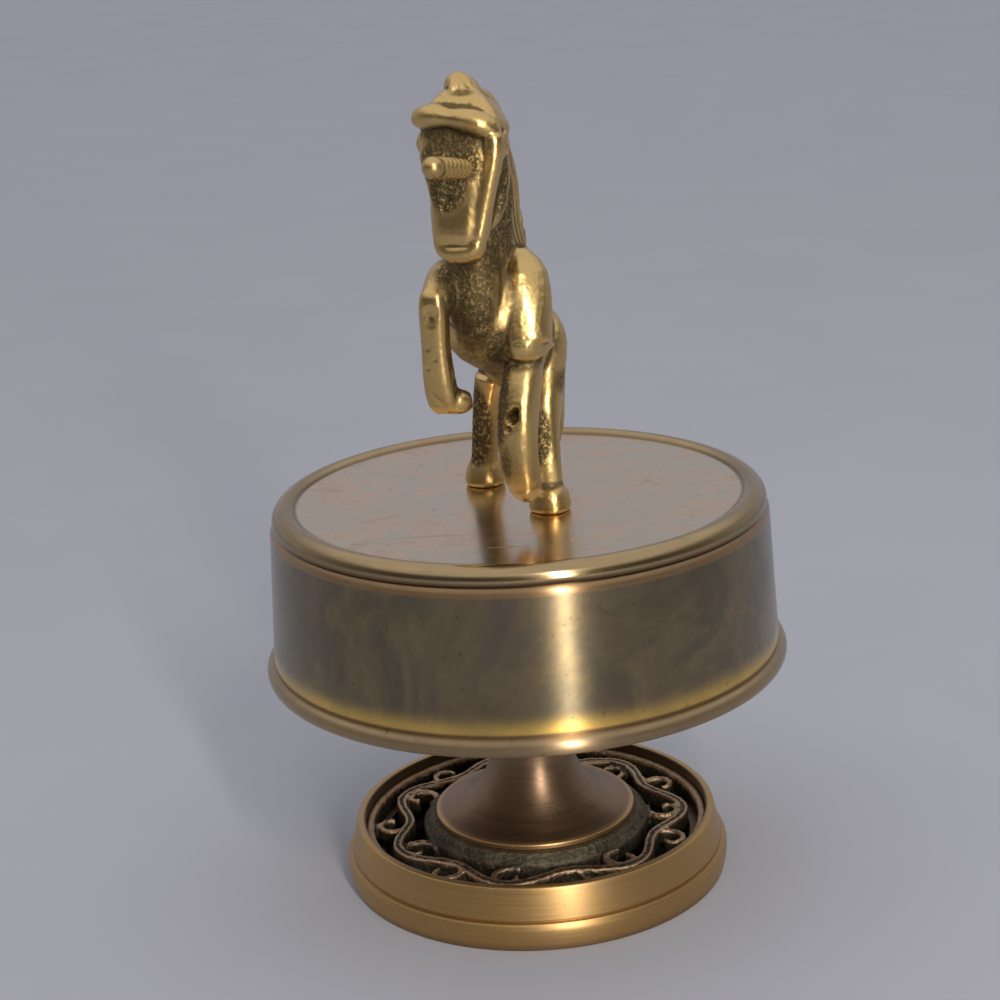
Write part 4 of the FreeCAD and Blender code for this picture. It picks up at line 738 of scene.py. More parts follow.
def patina_brass(colours):
    """Drum wall: brown patina with a painted golden glow near its foot, over a brown brass flange."""
    material, tree, shader = new_metal("patina_brass", roughness=0.4, brushed=0.97)
    shader.inputs["Coat Weight"].default_value = 0.4
    shader.inputs["Coat Roughness"].default_value = 0.14
    marks = Effects.place(tree, "turning", lines=1800.0, waver=30.0)["Marks"]
    stains = Effects.place(tree, "tarnish", size=34.0, cover=0.5)
    place = object_place(tree)
    height = split(tree, place)[2]
    cloud = noise_node(tree, place, 70.0, detail=6.0, roughness=0.62, distortion=0.8)
    drift = noise_node(tree, place, 38.0, detail=9.0, roughness=0.68, distortion=0.7)
    hue = ramp_node(tree, drift, WALL_HUES)
    brown = veiled(tree, stains["Stain"], 0.6, hue, colours.patina)
    # Painted golden glow round the foot of the wall, above the flange
    foot = between(tree, height, (DRUM_LEVEL + 8.5) * MM, (DRUM_LEVEL + 3.8) * MM)
    glow = times(tree, times(tree, foot, foot), scaled(tree, cloud, 0.9, 0.4), clamp=True)
    golden = mix_node(tree, glow, brown, PAINTED_FOOT_GLOW)
    lip = between(tree, height, (DRUM_LEVEL + 4.0) * MM, (DRUM_LEVEL + 3.5) * MM)
    flange = mix_node(tree, marks, *FLANGE_BROWN)
    flange = veiled(tree, stains["Stain"], 0.5, flange, FLANGE_STAIN)
    lipped = mix_node(tree, lip, golden, flange)
    shoulder = between(tree, height, (SHOULDER_LEVEL - 2.1) * MM, (SHOULDER_LEVEL - 1.5) * MM)
    topped = veiled(tree, shoulder, 0.75, lipped, SHOULDER_COPPER)
    specked = veiled(tree, stains["Speck"], 0.4, topped, WALL_SPECK)
    wire(tree, specked, shader.inputs["Base Color"])
    rough = plus(tree, times(tree, stains["Stain"], 0.08), scaled(tree, marks, 0.06, 0.27))
    wire(tree, rough, shader.inputs["Roughness"])
    bump(tree, shader, plus(tree, marks, times(tree, cloud, 2.0)), strength=0.12, distance=0.05)
    return material


def plate_brass(colours):
    """Top cap: grey-brown plate with stains and scratches inside a polished golden bead, with painted shade
    on the bead's lower face and in the crease at its foot.
    """
    material, tree, shader = new_metal("plate_brass", roughness=0.2)
    marks = Effects.place(tree, "turning", lines=1400.0, waver=40.0)["Marks"]
    stains = Effects.place(tree, "tarnish", size=42.0, cover=0.5)
    scratch = Effects.place(tree, "scratches", size=330.0)["Scratch"]
    place = object_place(tree)
    parts = split(tree, place)
    radius = axis_distance(tree, parts)
    hues = [(0.32, tinted(colours.plate, 0.7))] + PLATE_HUES
    drift = noise_node(tree, place, 90.0, detail=7.0, roughness=0.72, distortion=0.9)
    hue = ramp_node(tree, drift, hues)
    plate = veiled(tree, stains["Stain"], 0.45, hue, tinted(colours.plate, 0.78))
    scored = veiled(tree, scratch, 0.45, plate, tinted(colours.plate, 0.3))
    scored = veiled(tree, stains["Speck"], 0.5, scored, tinted(colours.plate, 0.35))
    blots = noise_node(tree, place, 170.0, detail=5.0, roughness=0.6, distortion=1.8)
    smudge = times(tree, minus(tree, blots, 0.64), 7.0, clamp=True)
    scored = veiled(tree, smudge, 0.55, scored, tinted(colours.plate, 0.32))
    bead = mix_node(tree, marks, *BEAD_GOLD)
    bead = veiled(tree, stains["Stain"], 0.5, bead, BEAD_STAIN)
    rim = between(tree, radius, 39.1 * MM, 39.5 * MM)
    # Painted shade on the bead's lower face and lip, above the drum's shoulder
    foot = between(tree, parts[2], (SHOULDER_LEVEL + 0.8) * MM, (SHOULDER_LEVEL + 0.1) * MM)
    bead = veiled(tree, foot, 0.85, bead, BEAD_FOOT_SHADE)
    # Painted shade in the crease where the plate meets the bead
    join = banded(tree, radius, (38.8, 39.2), (39.4, 39.9))
    whole = mix_node(tree, rim, scored, bead)
    whole = veiled(tree, join, 0.55, whole, JOIN_SHADE)
    wire(tree, whole, shader.inputs["Base Color"])
    flat = scaled(tree, stains["Stain"], 0.1, 0.15)
    rough = plus(tree, flat, times(tree, scratch, 0.25))
    wire(tree, rough, shader.inputs["Roughness"])
    bump(tree, shader, minus(tree, times(tree, marks, 0.4), scratch), strength=0.1, distance=0.05)
    return material


def cast_brass(colours):
    """The unicorn: polished where hands reach, gritty and sooty in places, with painted shade in its
    recesses, under its brow and under its body.
    """
    material, tree, shader = new_metal("gritty_brass", roughness=0.25)
    grit = Effects.place(tree, "grit", grain=2700.0)
    stains = Effects.place(tree, "tarnish", size=150.0, cover=0.46)
    coarse = between(tree, attribute_node(tree, "grit"), 0.05, 0.55)
    # Sooty stains with painted shade under the brow, chest and belly and in creases
    soot_and_shade = between(tree, attribute_node(tree, "soot_and_shade"), 0.05, 0.8)
    soot_and_shade = times(tree, soot_and_shade, scaled(tree, stains["Stain"], 0.25, 0.8))
    # Painted shade in the recesses of the figure and of the horn
    sunk = between(tree, attribute_node(tree, "recess"), 0.51, 0.62)
    worn_grains = minus(tree, 0.78, times(tree, soot_and_shade, 0.5))
    grains = minus(tree, 1.0, times(tree, grit["Sparkle"], worn_grains))
    pitted = times(tree, coarse, grains)
    # Grit, painted shade, soot and specks darken the polish together
    dirt_and_shade = greater(tree, times(tree, sunk, 0.9), pitted)
    dirt_and_shade = greater(tree, dirt_and_shade, times(tree, soot_and_shade, grains))
    dirt_and_shade = greater(tree, dirt_and_shade, times(tree, stains["Speck"], 0.6), clamp=True)
    bright = veiled(tree, stains["Stain"], 0.35, colours.cast, tinted(colours.cast, 0.66))
    worn = veiled(tree, coarse, 0.5, bright, WORN_CAST)
    soiled_and_shaded = veiled(tree, dirt_and_shade, 0.9, worn, CAST_DIRT_AND_SHADE)
    wire(tree, soiled_and_shaded, shader.inputs["Base Color"])
    rough = plus(tree, times(tree, dirt_and_shade, 0.25), scaled(tree, stains["Stain"], 0.10, 0.27))
    wire(tree, rough, shader.inputs["Roughness"])
    weight = scaled(tree, coarse, 1.0, 0.06)
    bump(tree, shader, times(tree, grit["Height"], weight), strength=0.75, distance=0.2)
    return material


def plain_metal(name, colour, roughness, lines):
    """A machined metal inside the drum, with faint marks and stains."""
    material, tree, shader = new_metal(name, roughness)
    stains = Effects.place(tree, "tarnish", size=180.0, cover=0.45)
    marks = Effects.place(tree, "turning", lines=lines, waver=50.0)["Marks"]
    lit = mix_node(tree, marks, tinted(colour, 0.8), tinted(colour, 1.15))
    aged = veiled(tree, stains["Stain"], 0.4, lit, tinted(colour, 0.55))
    wire(tree, aged, shader.inputs["Base Color"])
    wire(tree, scaled(tree, marks, 0.2, roughness - 0.1), shader.inputs["Roughness"])
    bump(tree, shader, marks, strength=0.15, distance=0.03)
    return material


def felt_cloth():
    """Green felt under the base."""
    material, tree, shader = new_metal("felt", roughness=0.95, metallic=0.0)
    fibres = noise_node(tree, object_place(tree), 2200.0, detail=6.0, roughness=0.75, distortion=1.2)
    wire(tree, mix_node(tree, fibres, *FELT_GREEN), shader.inputs["Base Color"])
    bump(tree, shader, fibres, strength=0.7, distance=0.3)
    return material


# Base: levels in millimetres on which the scroll and the base plate sit, and the bore round the arbor
SCROLL_SEAT = 6.1
PLATE_SEAT = 2.2
ARBOR_BORE = 2.3


class MUSIC_BOX_OT_base_ring(bpy.types.Operator):
    """Turns the base ring with its lower roll, groove, conical band and thin rim"""

    bl_idname = "music_box.base_ring"
    bl_label = "Base ring"

    def execute(self, context):
        sizes = context.scene.music_box_sizes
        wide = BASE_RADIUS
        widest = (wide, 3.5)
        groove = wide - 1.1
        rim = wide - 3.7
        ledge = wide - 6.7
        bore = wide - 3.0
        roll = bow((wide - 0.5, FOOT + 0.15), widest, rise=0.12)
        roll += bow(widest, (wide - 0.5, 5.0), rise=0.128, pieces=8)[1:]
        outline = [(bore, FOOT), (wide - 0.65, FOOT)] + roll
        outline += [(groove, 5.08), (groove, 5.34), (wide - 1.0, 5.4, 0.1), (wide - 2.3, RIM_LEVEL, 0.5)]
        outline += [(rim, RIM_LEVEL, 0.3), (rim, SCROLL_SEAT), (ledge, SCROLL_SEAT), (ledge, PLATE_SEAT)]
        outline += [(bore, PLATE_SEAT)]
        piece = turned("base_ring_turned", eased(outline), sizes.spin_steps)
        settle(piece, "base", "satin_brass", satin_brass(context.scene.music_box_colours), "base_ring")
        return {"FINISHED"}


class MUSIC_BOX_OT_pedestal(bpy.types.Operator):
    """Turns the trumpet pedestal: skirt, slim neck and the collar under the drum"""

    bl_idname = "music_box.pedestal"
    bl_label = "Pedestal"

    def execute(self, context):
        sizes = context.scene.music_box_sizes
        neck = 7.4
        collar = 10.5
        brim = (SKIRT_RADIUS - 0.2, SKIRT_LEVEL + 1.0)
        skirt = bow(brim, (neck, SKIRT_LEVEL + 13.3), rise=-3.05, pieces=24)
        flare = bow((neck, COLLAR_LEVEL - 6), (collar, COLLAR_LEVEL - 1), rise=-0.84, pieces=10)
        outline = [(ARBOR_BORE, SKIRT_LEVEL), (SKIRT_RADIUS, SKIRT_LEVEL, 0.2)]
        outline += [(SKIRT_RADIUS, SKIRT_LEVEL + 0.8, 0.25)] + skirt + flare
        outline += [(collar, COLLAR_LEVEL), (ARBOR_BORE, COLLAR_LEVEL)]
        piece = turned("pedestal_turned", eased(outline), sizes.spin_steps)
        settle(piece, "base", "brown_brass", umber_bronze(context.scene.music_box_colours), "pedestal")
        return {"FINISHED"}


def waving_ring(middle, swing, waves, count):
    """Points of a closed path round the axis, whose radius waves about its middle."""
    points = []
    for step in range(count):
        angle = math.tau * (step / count)
        radius = middle + swing * math.cos(waves * math.tau * (step / count))
        points.append((radius * math.cos(angle), radius * math.sin(angle)))
    return points


def curled_tendril(centre, angle, outward, reach):
    """Points of a tendril that curls in on its centre."""
    points = []
    for turn in range(30):
        share = turn / 29
        wide = reach * (1 - 0.62 * share)
        facing = angle + outward * (math.pi + 0.5 - 5.6 * share)
        points.append((centre.x + wide * math.cos(facing), centre.y + wide * math.sin(facing)))
    return points


def drawn_out(corner):
    """The selected corner that was drawn out of this one."""
    for edge in corner.link_edges:
        other = edge.other_vert(corner)
        if other.select:
            return other
    raise RuntimeError("no corner was drawn out")


def grooved_band(points, low, high, half, closed=False):
    """A band on edge along points, whose top is a groove between two rounded rails."""
    edge = high - 0.25
    groove = high - 0.35
    section = [(-1, low), (-1, edge), (-0.8, high), (-0.5, high), (-0.3, groove)]
    section += [(-across, level) for across, level in reversed(section)]
    deselect()
    bpy.ops.mesh.primitive_circle_add(vertices=len(section), radius=1, fill_type="NGON")
    piece = bpy.context.object
    bpy.ops.object.mode_set(mode="EDIT")
    mesh = bmesh.from_edit_mesh(piece.data)
    corners = list(next(iter(mesh.faces)).verts)
    count = len(points)
    for place in range(count + (1 if closed else 0)):
        here = Vector(points[place % count])
        if closed:
            ahead, behind = Vector(points[(place + 1) % count]), Vector(points[place - 1])
        else:
            ahead, behind = Vector(points[min(place + 1, count - 1)]), Vector(points[max(place - 1, 0)])
        along = (ahead - behind).normalized()
        side = Vector((along.y, -along.x))
        width = half
        if not closed:
            width *= min(1.0, 0.45 + 1.6 * (count - 1 - place) / count)
        if place:
            bpy.ops.mesh.extrude_region()
            mesh = bmesh.from_edit_mesh(piece.data)
            corners = [drawn_out(corner) for corner in corners]
        for corner, (across, up) in zip(corners, section):
            spot = here + side * across * width
            corner.co = (spot.x * MM, spot.y * MM, up * MM)
    bmesh.update_edit_mesh(piece.data)
    bpy.ops.mesh.select_all(action="SELECT")
    bpy.ops.mesh.remove_doubles(threshold=MM / 1000)
    bpy.ops.mesh.normals_make_consistent(inside=False)
    bpy.ops.object.mode_set(mode="OBJECT")
    return piece


class MUSIC_BOX_OT_scroll_insert(bpy.types.Operator):
    """Casts the vine scroll: outer ring, waving vine, curled tendrils and rough boss"""

    bl_idname = "music_box.scroll_insert"
    bl_label = "Scroll insert"

    def execute(self, context):
        sizes = context.scene.music_box_sizes
        low = SCROLL_SEAT
        high = 9.3
        inner = SCROLL_RADIUS - 1.4
        boss = 20.6
        middle = (inner + boss) / 2
        swing = 2.0
        waves = 7
        half = sizes.vine_width / MM / 2
        vine = waving_ring(middle, swing, waves, count=224)
        pieces = [grooved_band(vine, low, high, half, closed=True)]
        for step in range(2 * waves):
            angle = math.pi * step / waves
            outward = 1 if step % 2 else -1
            hold = middle - outward * swing
            edge = inner if outward > 0 else boss
            reach = abs(edge - hold) / 2 + 0.2
            centre = Vector((math.cos(angle), math.sin(angle))) * (edge + hold) / 2
            curl = curled_tendril(centre, angle, outward, reach)
            pieces.append(grooved_band(curl, low + 0.3, high - 0.1 - 0.3 * (step % 3), 0.62 * half))
        ring = [(inner, low), (SCROLL_RADIUS, low), (SCROLL_RADIUS, high), (inner + 0.3, high)]
        ring += [(inner, high - 0.3)]
        pieces.append(turned("scroll_ring", ring, sizes.spin_steps))
        stem_foot = 2.3
        stem = 9
        shelf = 19.0
        outline = [(ARBOR_BORE, stem_foot), (stem, stem_foot), (stem, low), (boss, low), (boss, high - 0.4)]
        outline += [(boss - 0.3, high), (shelf, SKIRT_LEVEL), (ARBOR_BORE, SKIRT_LEVEL)]
        pieces.append(turned("scroll_boss", outline, sizes.spin_steps))
        piece = cast("scroll_insert_cast", pieces, grain=0.34 * MM)
        rows = vertex_rows(piece)
        away = numpy.hypot(rows[:, 0], rows[:, 1])
        off_ring = numpy.clip((SCROLL_RADIUS - 0.35 - away) / 0.4, 0, 1)
        off_skirt = numpy.clip((away - SKIRT_RADIUS - 0.2) / 0.4, 0, 1)
        roughen(piece, off_ring * off_skirt, size=0.8, strength=0.36)
        mark_recesses(piece, rounds=16, reach=0.30)
        finish = blackened_brass(context.scene.music_box_colours)
        settle(piece, "base", "blackened_brass", finish, "scroll_insert")
        return {"FINISHED"}


# Drum
class MUSIC_BOX_OT_drum_shell(bpy.types.Operator):
    """Spins the drum's wall with its rolled flange and rounded shoulder"""

    bl_idname = "music_box.drum_shell"
    bl_label = "Drum shell"

    def execute(self, context):
        sizes = context.scene.music_box_sizes
        low = DRUM_LEVEL
        inside = 42.9
        seat = 39.4
        cover = 44.1
        flange = 44.9
        wall_foot = 45.1
        wall_top = 43.9
        shoulder_edge = 42.2
        under = SHOULDER_LEVEL - 1
        roll = bow((flange, low), (flange, low + 3.2), rise=1.6, pieces=18)
        top = (wall_top, SHOULDER_LEVEL - 1.7)
        shoulder = bow(top, (shoulder_edge, SHOULDER_LEVEL), rise=0.498, pieces=10)
        outline = [(inside, low)] + roll + [(wall_foot, low + 4.0, 0.4)] + shoulder
        outline += [(seat, SHOULDER_LEVEL), (seat, under), (inside, under), (cover, COVER_LEVEL + 1.5)]
        outline += [(cover, COVER_LEVEL), (inside, COVER_LEVEL)]
        piece = turned("drum_shell_spun", eased(outline), sizes.spin_steps)
        settle(piece, "drum", "patina_brass", patina_brass(context.scene.music_box_colours), "drum_shell")
        return {"FINISHED"}


class MUSIC_BOX_OT_top_cap(bpy.types.Operator):
    """Spins the top cap: flat plate inside a polished half-round bead"""

    bl_idname = "music_box.top_cap"
    bl_label = "Top cap"

    def execute(self, context):
        sizes = context.scene.music_box_sizes
        under = PLATE_LEVEL - 1.2
        lip = SHOULDER_LEVEL - 1.8
        lip_inside = 38.15
        lip_outside = 39.35
        bead_middle = 41.0
        bead = 2.45
        bead_foot = 39.37
        outer = []
        for step in range(19):
            angle = math.radians(-13 + 103 * step / 18)
            outer.append((bead_middle + bead * math.cos(angle), BEAD_LEVEL - bead + bead * math.sin(angle)))
        inner = bow((bead_middle, BEAD_LEVEL), (bead_foot, PLATE_LEVEL), rise=0.2, pieces=8)[1:]
        outline = [(POLE, under), (lip_inside, under), (lip_inside, lip), (lip_outside, lip)]
        outline += [(lip_outside, SHOULDER_LEVEL)] + outer + inner
        outline += [(radius, PLATE_LEVEL) for radius in (36, 30, 20, 10, POLE)]
        piece = turned("top_cap_spun", outline, sizes.spin_steps)
        settle(piece, "drum", "plate_brass", plate_brass(context.scene.music_box_colours), "top_cap")
        return {"FINISHED"}


# Unicorn: each limb's squareness, and its stations (left, back, up, half width, half depth) in millimetres
LIMBS = {
    "body": (2.0, [
        (1.1, 11.7, 23.4, 2.2, 3.0), (1.1, 9.1, 24.2, 5.8, 7.0), (1.1, 3.5, 25.9, 7.4, 8.6),
        (1.2, -3.5, 29.6, 6.8, 8.0), (1.3, -10, 34.2, 8.6, 9.4), (1.3, -15, 37, 7.7, 8.2),
        (1.3, -18, 38.3, 4.0, 4.8),
    ]),
    "neck": (2.2, [
        (1.3, -5, 31, 5.5, 7.0), (1.3, -7, 37, 7.0, 8.6), (1.4, -8.2, 42, 5.7, 8.2),
        (1.5, -9.2, 47, 4.1, 7.2), (1.7, -10.7, 54, 3.9, 6.3), (1.8, -12.5, 61.6, 4.1, 5.9),
        (1.9, -15.5, 67.7, 4.5, 5.1), (2, -18.5, 70.2, 2.9, 3.0),
    ]),
    "face": (4.2, [
        (2.2, -17.6, 71, 3.6, 2.6), (2.1, -18.7, 67.5, 6.6, 4.3), (2.0, -19.2, 64.6, 6.6, 4.3),
        (1.9, -20.0, 61.4, 6.6, 4.7), (2.0, -21.0, 57.6, 5.4, 4.3), (2.0, -21.6, 54.0, 4.5, 4.1),
        (1.9, -22.6, 49.6, 3.9, 3.8), (1.8, -23.0, 47.2, 3.2, 2.6),
    ]),
    "forehead": (2.4, [
        (1.9, -19.6, 66.6, 6.4, 3.2), (1.7, -19.6, 68.8, 6.0, 3.0), (1.5, -18.6, 70.4, 4.4, 2.6),
        (1.2, -17.6, 71.6, 3.0, 2.0),
    ]),
    "brow": (2.0, [
        (-5.3, -20.2, 67.4, 0.9, 0.9), (-4.2, -21.6, 68.2, 1.8, 1.7), (-1.6, -22.7, 68.6, 2.2, 2.0),
        (1.2, -22.9, 68.3, 1.8, 1.6), (3.6, -22.9, 68.0, 2.1, 1.9), (6.0, -22.4, 67.2, 2.3, 2.1),
        (7.8, -21.6, 66.2, 1.8, 1.8),
    ]),
    "border": (2.0, [
        (7.0, -21.6, 67.4, 1.4, 1.4), (8.0, -22.0, 65.0, 1.8, 1.8), (8.0, -22.6, 61.8, 1.6, 1.6),
        (7.2, -23.2, 57.8, 1.5, 1.5), (6.2, -23.7, 53.4, 1.5, 1.5), (5.4, -24.2, 49.8, 1.6, 1.6),
        (4.6, -24.5, 47.8, 1.7, 1.7), (2.8, -24.8, 47.4, 1.7, 1.7), (0.9, -24.7, 47.4, 1.7, 1.7),
        (-0.5, -24.3, 48.4, 1.6, 1.6), (-1.2, -23.7, 51.4, 1.4, 1.4), (-1.8, -23.0, 55.5, 1.1, 1.1),
        (-2.4, -21.8, 59.0, 0.6, 0.6),
    ]),
    "forelock": (2.0, [
        (1.7, -16.5, 68.2, 5.0, 4.4), (1.3, -16.8, 70.6, 3.4, 3.4), (0.8, -17.2, 72.4, 2.7, 2.6),
        (0.5, -17.2, 73.5, 2.3, 2.2), (0.3, -17.0, 74.3, 1.5, 1.5), (0.2, -16.9, 74.6, 0.8, 0.8),
    ]),
    "cheek": (2.0, [
        (6.6, -17.4, 67.6, 1.0, 1.4), (7.2, -17.0, 62.5, 1.1, 1.6), (7.1, -17.0, 56.9, 1.1, 1.6),
        (5.2, -18.0, 51.6, 1.0, 1.4), (3.9, -19.0, 49.8, 0.6, 0.8),
    ]),
    "left_eye": (2.0, [
        (8.3, -19.7, 65.0, 0.4, 0.5), (8.5, -19.8, 64.3, 0.9, 1.1), (8.6, -19.8, 63.4, 1.1, 1.4),
        (8.5, -19.8, 62.5, 0.9, 1.1), (8.3, -19.8, 61.8, 0.4, 0.5),
    ]),
    "right_eye": (2.0, [
        (-4.2, -19.9, 66.0, 0.4, 0.6), (-4.5, -20.1, 65.2, 1.0, 1.2), (-4.7, -20.2, 64.0, 1.2, 1.6),
        (-4.5, -20.2, 62.8, 0.9, 1.2), (-4.2, -20.2, 62.0, 0.4, 0.6),
    ]),
    "breast": (2.2, [
        (1.2, -13.6, 47.0, 3.0, 3.2), (0.6, -15.6, 43.4, 4.4, 4.2), (0.8, -16.8, 39.0, 5.0, 4.4),
        (1.4, -16.4, 34.0, 4.2, 3.8), (2.2, -14.6, 30.0, 2.6, 2.6),
    ]),
    "right_arm": (2.4, [
        (-3.2, -9.8, 38.2, 4.6, 5.0), (-3.3, -15.8, 40.4, 4.1, 4.4), (-3.2, -21.8, 39.2, 2.8, 3.1),
        (-3.3, -24, 38.2, 1.6, 1.7),
    ]),
    "right_shin": (3.2, [
        (-3.5, -22.4, 41.3, 0.6, 0.6), (-3.5, -22.8, 40.6, 1.7, 1.6), (-3.5, -23.1, 38.6, 2.3, 2.2),
        (-3.6, -23.1, 32, 2.25, 2.0), (-3.5, -22.8, 26, 2.5, 2.2), (-3.2, -22.2, 22.2, 2.5, 2.1),
        (-3.0, -21.9, 20.4, 1.5, 1.3),
    ]),
    "right_hoof": (2.6, [
        (-4.4, -22.6, 22.7, 1.2, 1.6), (-2.8, -21.8, 22.2, 2.1, 2.1), (-0.6, -20.6, 21.9, 1.9, 2.0),
        (0.7, -19.8, 22.0, 1.1, 1.3),
    ]),
    "left_shoulder": (2.8, [
        (4.2, -8.2, 43.6, 2.6, 3.4), (6.0, -9.4, 40.0, 4.4, 5.4), (7.1, -10.8, 34.6, 4.6, 6.4),
        (7.8, -12.2, 30.8, 4.4, 6.2), (8.0, -12.6, 29.3, 4.1, 5.9), (8.0, -12.6, 28.5, 3.2, 5.0),
    ]),
    "left_arm": (2.6, [
        (6.6, -9.5, 35, 3.0, 3.6), (7.8, -12.4, 28.6, 2.9, 3.3), (8.2, -15.6, 24.8, 3.2, 3.2),
        (8.1, -18.1, 18.9, 3.25, 3.1), (8, -18.5, 12.1, 3.15, 2.9), (8.5, -17.5, 7, 2.75, 2.6),
        (9, -16.7, 4.9, 1.5, 1.5),
    ]),
    "left_leg": (2.3, [
        (3.4, 5.2, 31.4, 0.8, 1.2), (4.2, 4.6, 29.6, 3.0, 4.0), (5, 3.4, 26, 4.0, 5.4),
        (5.9, 1, 19.8, 3.1, 4.0), (6.6, -2.2, 13.6, 2.6, 2.9), (7.9, -5.2, 7.2, 2.3, 2.3),
        (9.1, -8.1, 2.6, 2.5, 2.5),
    ]),
    "left_hoof": (2.4, [
        (9.1, -8.1, 4.2, 2.4, 2.4), (9.1, -8.1, 3.0, 3.1, 3.1), (9.1, -8.1, 1.4, 3.45, 3.45),
        (9.1, -8.1, 0.5, 3.45, 3.45), (9.1, -8.1, 0.0, 3.1, 3.1),
    ]),
    "right_leg": (2.3, [
        (-1.4, 5.4, 31.4, 0.8, 1.2), (-2.4, 5.4, 29.6, 3.0, 4.0), (-3.8, 5.5, 26, 4.0, 5.4),
        (-6.0, 5.7, 19.5, 2.9, 3.8), (-7.3, 5.3, 13, 2.35, 2.7), (-7.7, 4.7, 6.9, 2.3, 2.3),
        (-7.9, 4.4, 2.6, 2.5, 2.5),
    ]),
    "hind_hoof": (2.2, [
        (-7.9, 4.4, 4.6, 2.4, 2.4), (-7.9, 4.4, 3.0, 3.2, 3.2), (-7.9, 4.4, 1.4, 3.5, 3.5),
        (-7.9, 4.4, 0.5, 3.45, 3.45), (-7.9, 4.4, 0.0, 3.1, 3.1),
    ]),
    "mane_crest": (2.0, [
        (1.9, -11.5, 70.4, 0.9, 1.2), (1.8, -8.6, 66, 1.5, 1.9), (1.7, -5.6, 59, 1.5, 2.1),
        (1.6, -3.2, 51.5, 1.5, 2.2), (1.4, -0.8, 45, 1.6, 2.2), (1.3, 1.4, 39.6, 1.4, 1.8),
    ]),
    "tail": (2.0, [
        (1.1, 9.5, 26.6, 2.0, 2.0), (1.2, 13.5, 24.3, 2.2, 2.3), (1.2, 15.3, 17, 2.5, 2.4),
        (1.2, 14.8, 8.1, 2.2, 2.0), (1.2, 13.5, 2.6, 1.0, 1.0),
    ]),
}

# Gritty places on the figure: centre and radii
GRIT = [
    ((1.6, -24.2, 62), (6.6, 3.6, 6.6)), ((1.0, -25.4, 57.6), (4.2, 3.4, 5.0)),
    ((1.6, -22.5, 66), (6.8, 2.8, 3.0)), ((0.6, -19.5, 41.5), (6.4, 6.0, 7.5)),
    ((2.6, -21, 37), (4.2, 4.6, 8.0)), ((7.0, -18.6, 59), (2.4, 2.4, 9.0)),
    ((3.6, -16.5, 46.5), (5.0, 4.0, 6.0)), ((5.6, -12.5, 53), (2.0, 3.2, 12.0)),
    ((-8.2, 2.6, 11), (3.4, 4.0, 10)), ((6.9, -6.2, 13), (2.6, 3.2, 9.0)),
    ((5.4, -17.2, 29.5), (3.4, 3.6, 6.0)), ((6.0, -19.4, 20), (2.2, 3.4, 9.0)),
    ((1.2, 6, 20), (5, 7, 5)), ((-1.4, -22, 24), (1.6, 2.0, 3.0)), ((1.4, -2, 45), (4.0, 2.5, 16.0)),
]

# Places of painted shade under the brow, chest and belly and in creases, and of sooty stains, on the figure:
# centre and radii
SOOT_AND_SHADE = [
    ((1.4, -23.6, 65.4), (7.0, 3.2, 3.2)), ((1.0, -20.5, 40.5), (5.8, 7.0, 8.5)),
    ((2.2, -20, 34), (5.0, 6.0, 6.5)), ((0.0, -11, 27.5), (9.0, 13, 7.0)),
    ((5.2, -17.5, 26), (3.2, 4.4, 7.0)), ((6.2, -14.2, 57), (2.2, 3.6, 10)),
    ((4.6, -16.4, 47.5), (4.6, 4.0, 5.0)), ((-1.2, -20.6, 31), (1.5, 2.6, 10)),
    ((7.4, 1.2, 20.5), (4.0, 5.0, 3.4)), ((-5.6, 3.2, 23.5), (4.0, 4.0, 3.6)),
    ((7.8, -15.6, 27.4), (5.4, 5.4, 1.7)), ((9.1, -8.1, 4.6), (3.8, 3.8, 0.9)),
    ((6.9, -19.4, 12), (2.0, 4.0, 5.0)), ((2.0, -19.8, 71.8), (2.8, 2.2, 0.9)),
    ((1.4, 1, 46), (3.4, 2.0, 18)), ((8.0, -25.6, 10), (6.0, 6.0, 9.0)),
    ((5.6, -19.8, 21), (3.2, 4.2, 10)), ((-1.6, -16, 44), (5.0, 5.0, 3.4)),
]

# Pits left by the casting: centre, radius and depth
PITS = [
    ((8.2, -21.2, 19.6), 1.25, 2.4), ((8.6, -21.0, 20.8), 0.8, 1.4), ((7.4, -21.1, 17.6), 0.7, 0.9),
    ((8.4, -21.0, 16.4), 0.5, 0.6), ((-3.2, -25.4, 37.4), 1.5, 0.28), ((-3.2, -25.4, 36.0), 1.1, 0.2),
    ((-4.2, -25.2, 31.6), 0.45, 0.18), ((-2.9, -25.2, 29.9), 0.4, 0.2),
    ((-4.4, -25.2, 28.3), 0.45, 0.16), ((1.0, -25.4, 56.0), 0.8, 0.5), ((0.4, -25.6, 54.6), 0.6, 0.4),
]

# Creases pressed into the figure: start, end, radius and depth
CREASES = [
    ((-5.4, -25.0, 25.6), (-1.2, -24.2, 20.8), 0.55, 0.3),
    ((6.6, -18.6, 28.2), (11.4, -14.2, 27.6), 0.8, 0.5),
    ((6.4, -11.2, 4.7), (11.8, -10.6, 4.7), 0.5, 0.35),
    ((8.6, -17.4, 33.8), (11.0, -14.6, 36.4), 0.5, 0.18),
]

# Roughness of the polished skin against the grit, and the grit's size and depth in millimetres
SKIN_ROUGHNESS = 0.12
GRIT_SIZE = 0.6
GRIT_DEPTH = 0.42

# Radii of the eyelids and the locks of hair in millimetres
EYELID = 0.5
LONG_LOCK = 0.62
SHORT_LOCK = 0.6
TAIL_LOCK = 0.75


def eyelids():
    """A lid over each eye, as points and radius."""
    lids = []
    for across, bulge in ((8.7, 0.3), (-4.7, -0.4)):
        points = [(across, -21.4, 63.6), (across + bulge, -20.6, 65.0), (across + bulge, -19.2, 65.2),
                  (across, -18.0, 64.0)]
        lids.append((points, EYELID))
    return lids


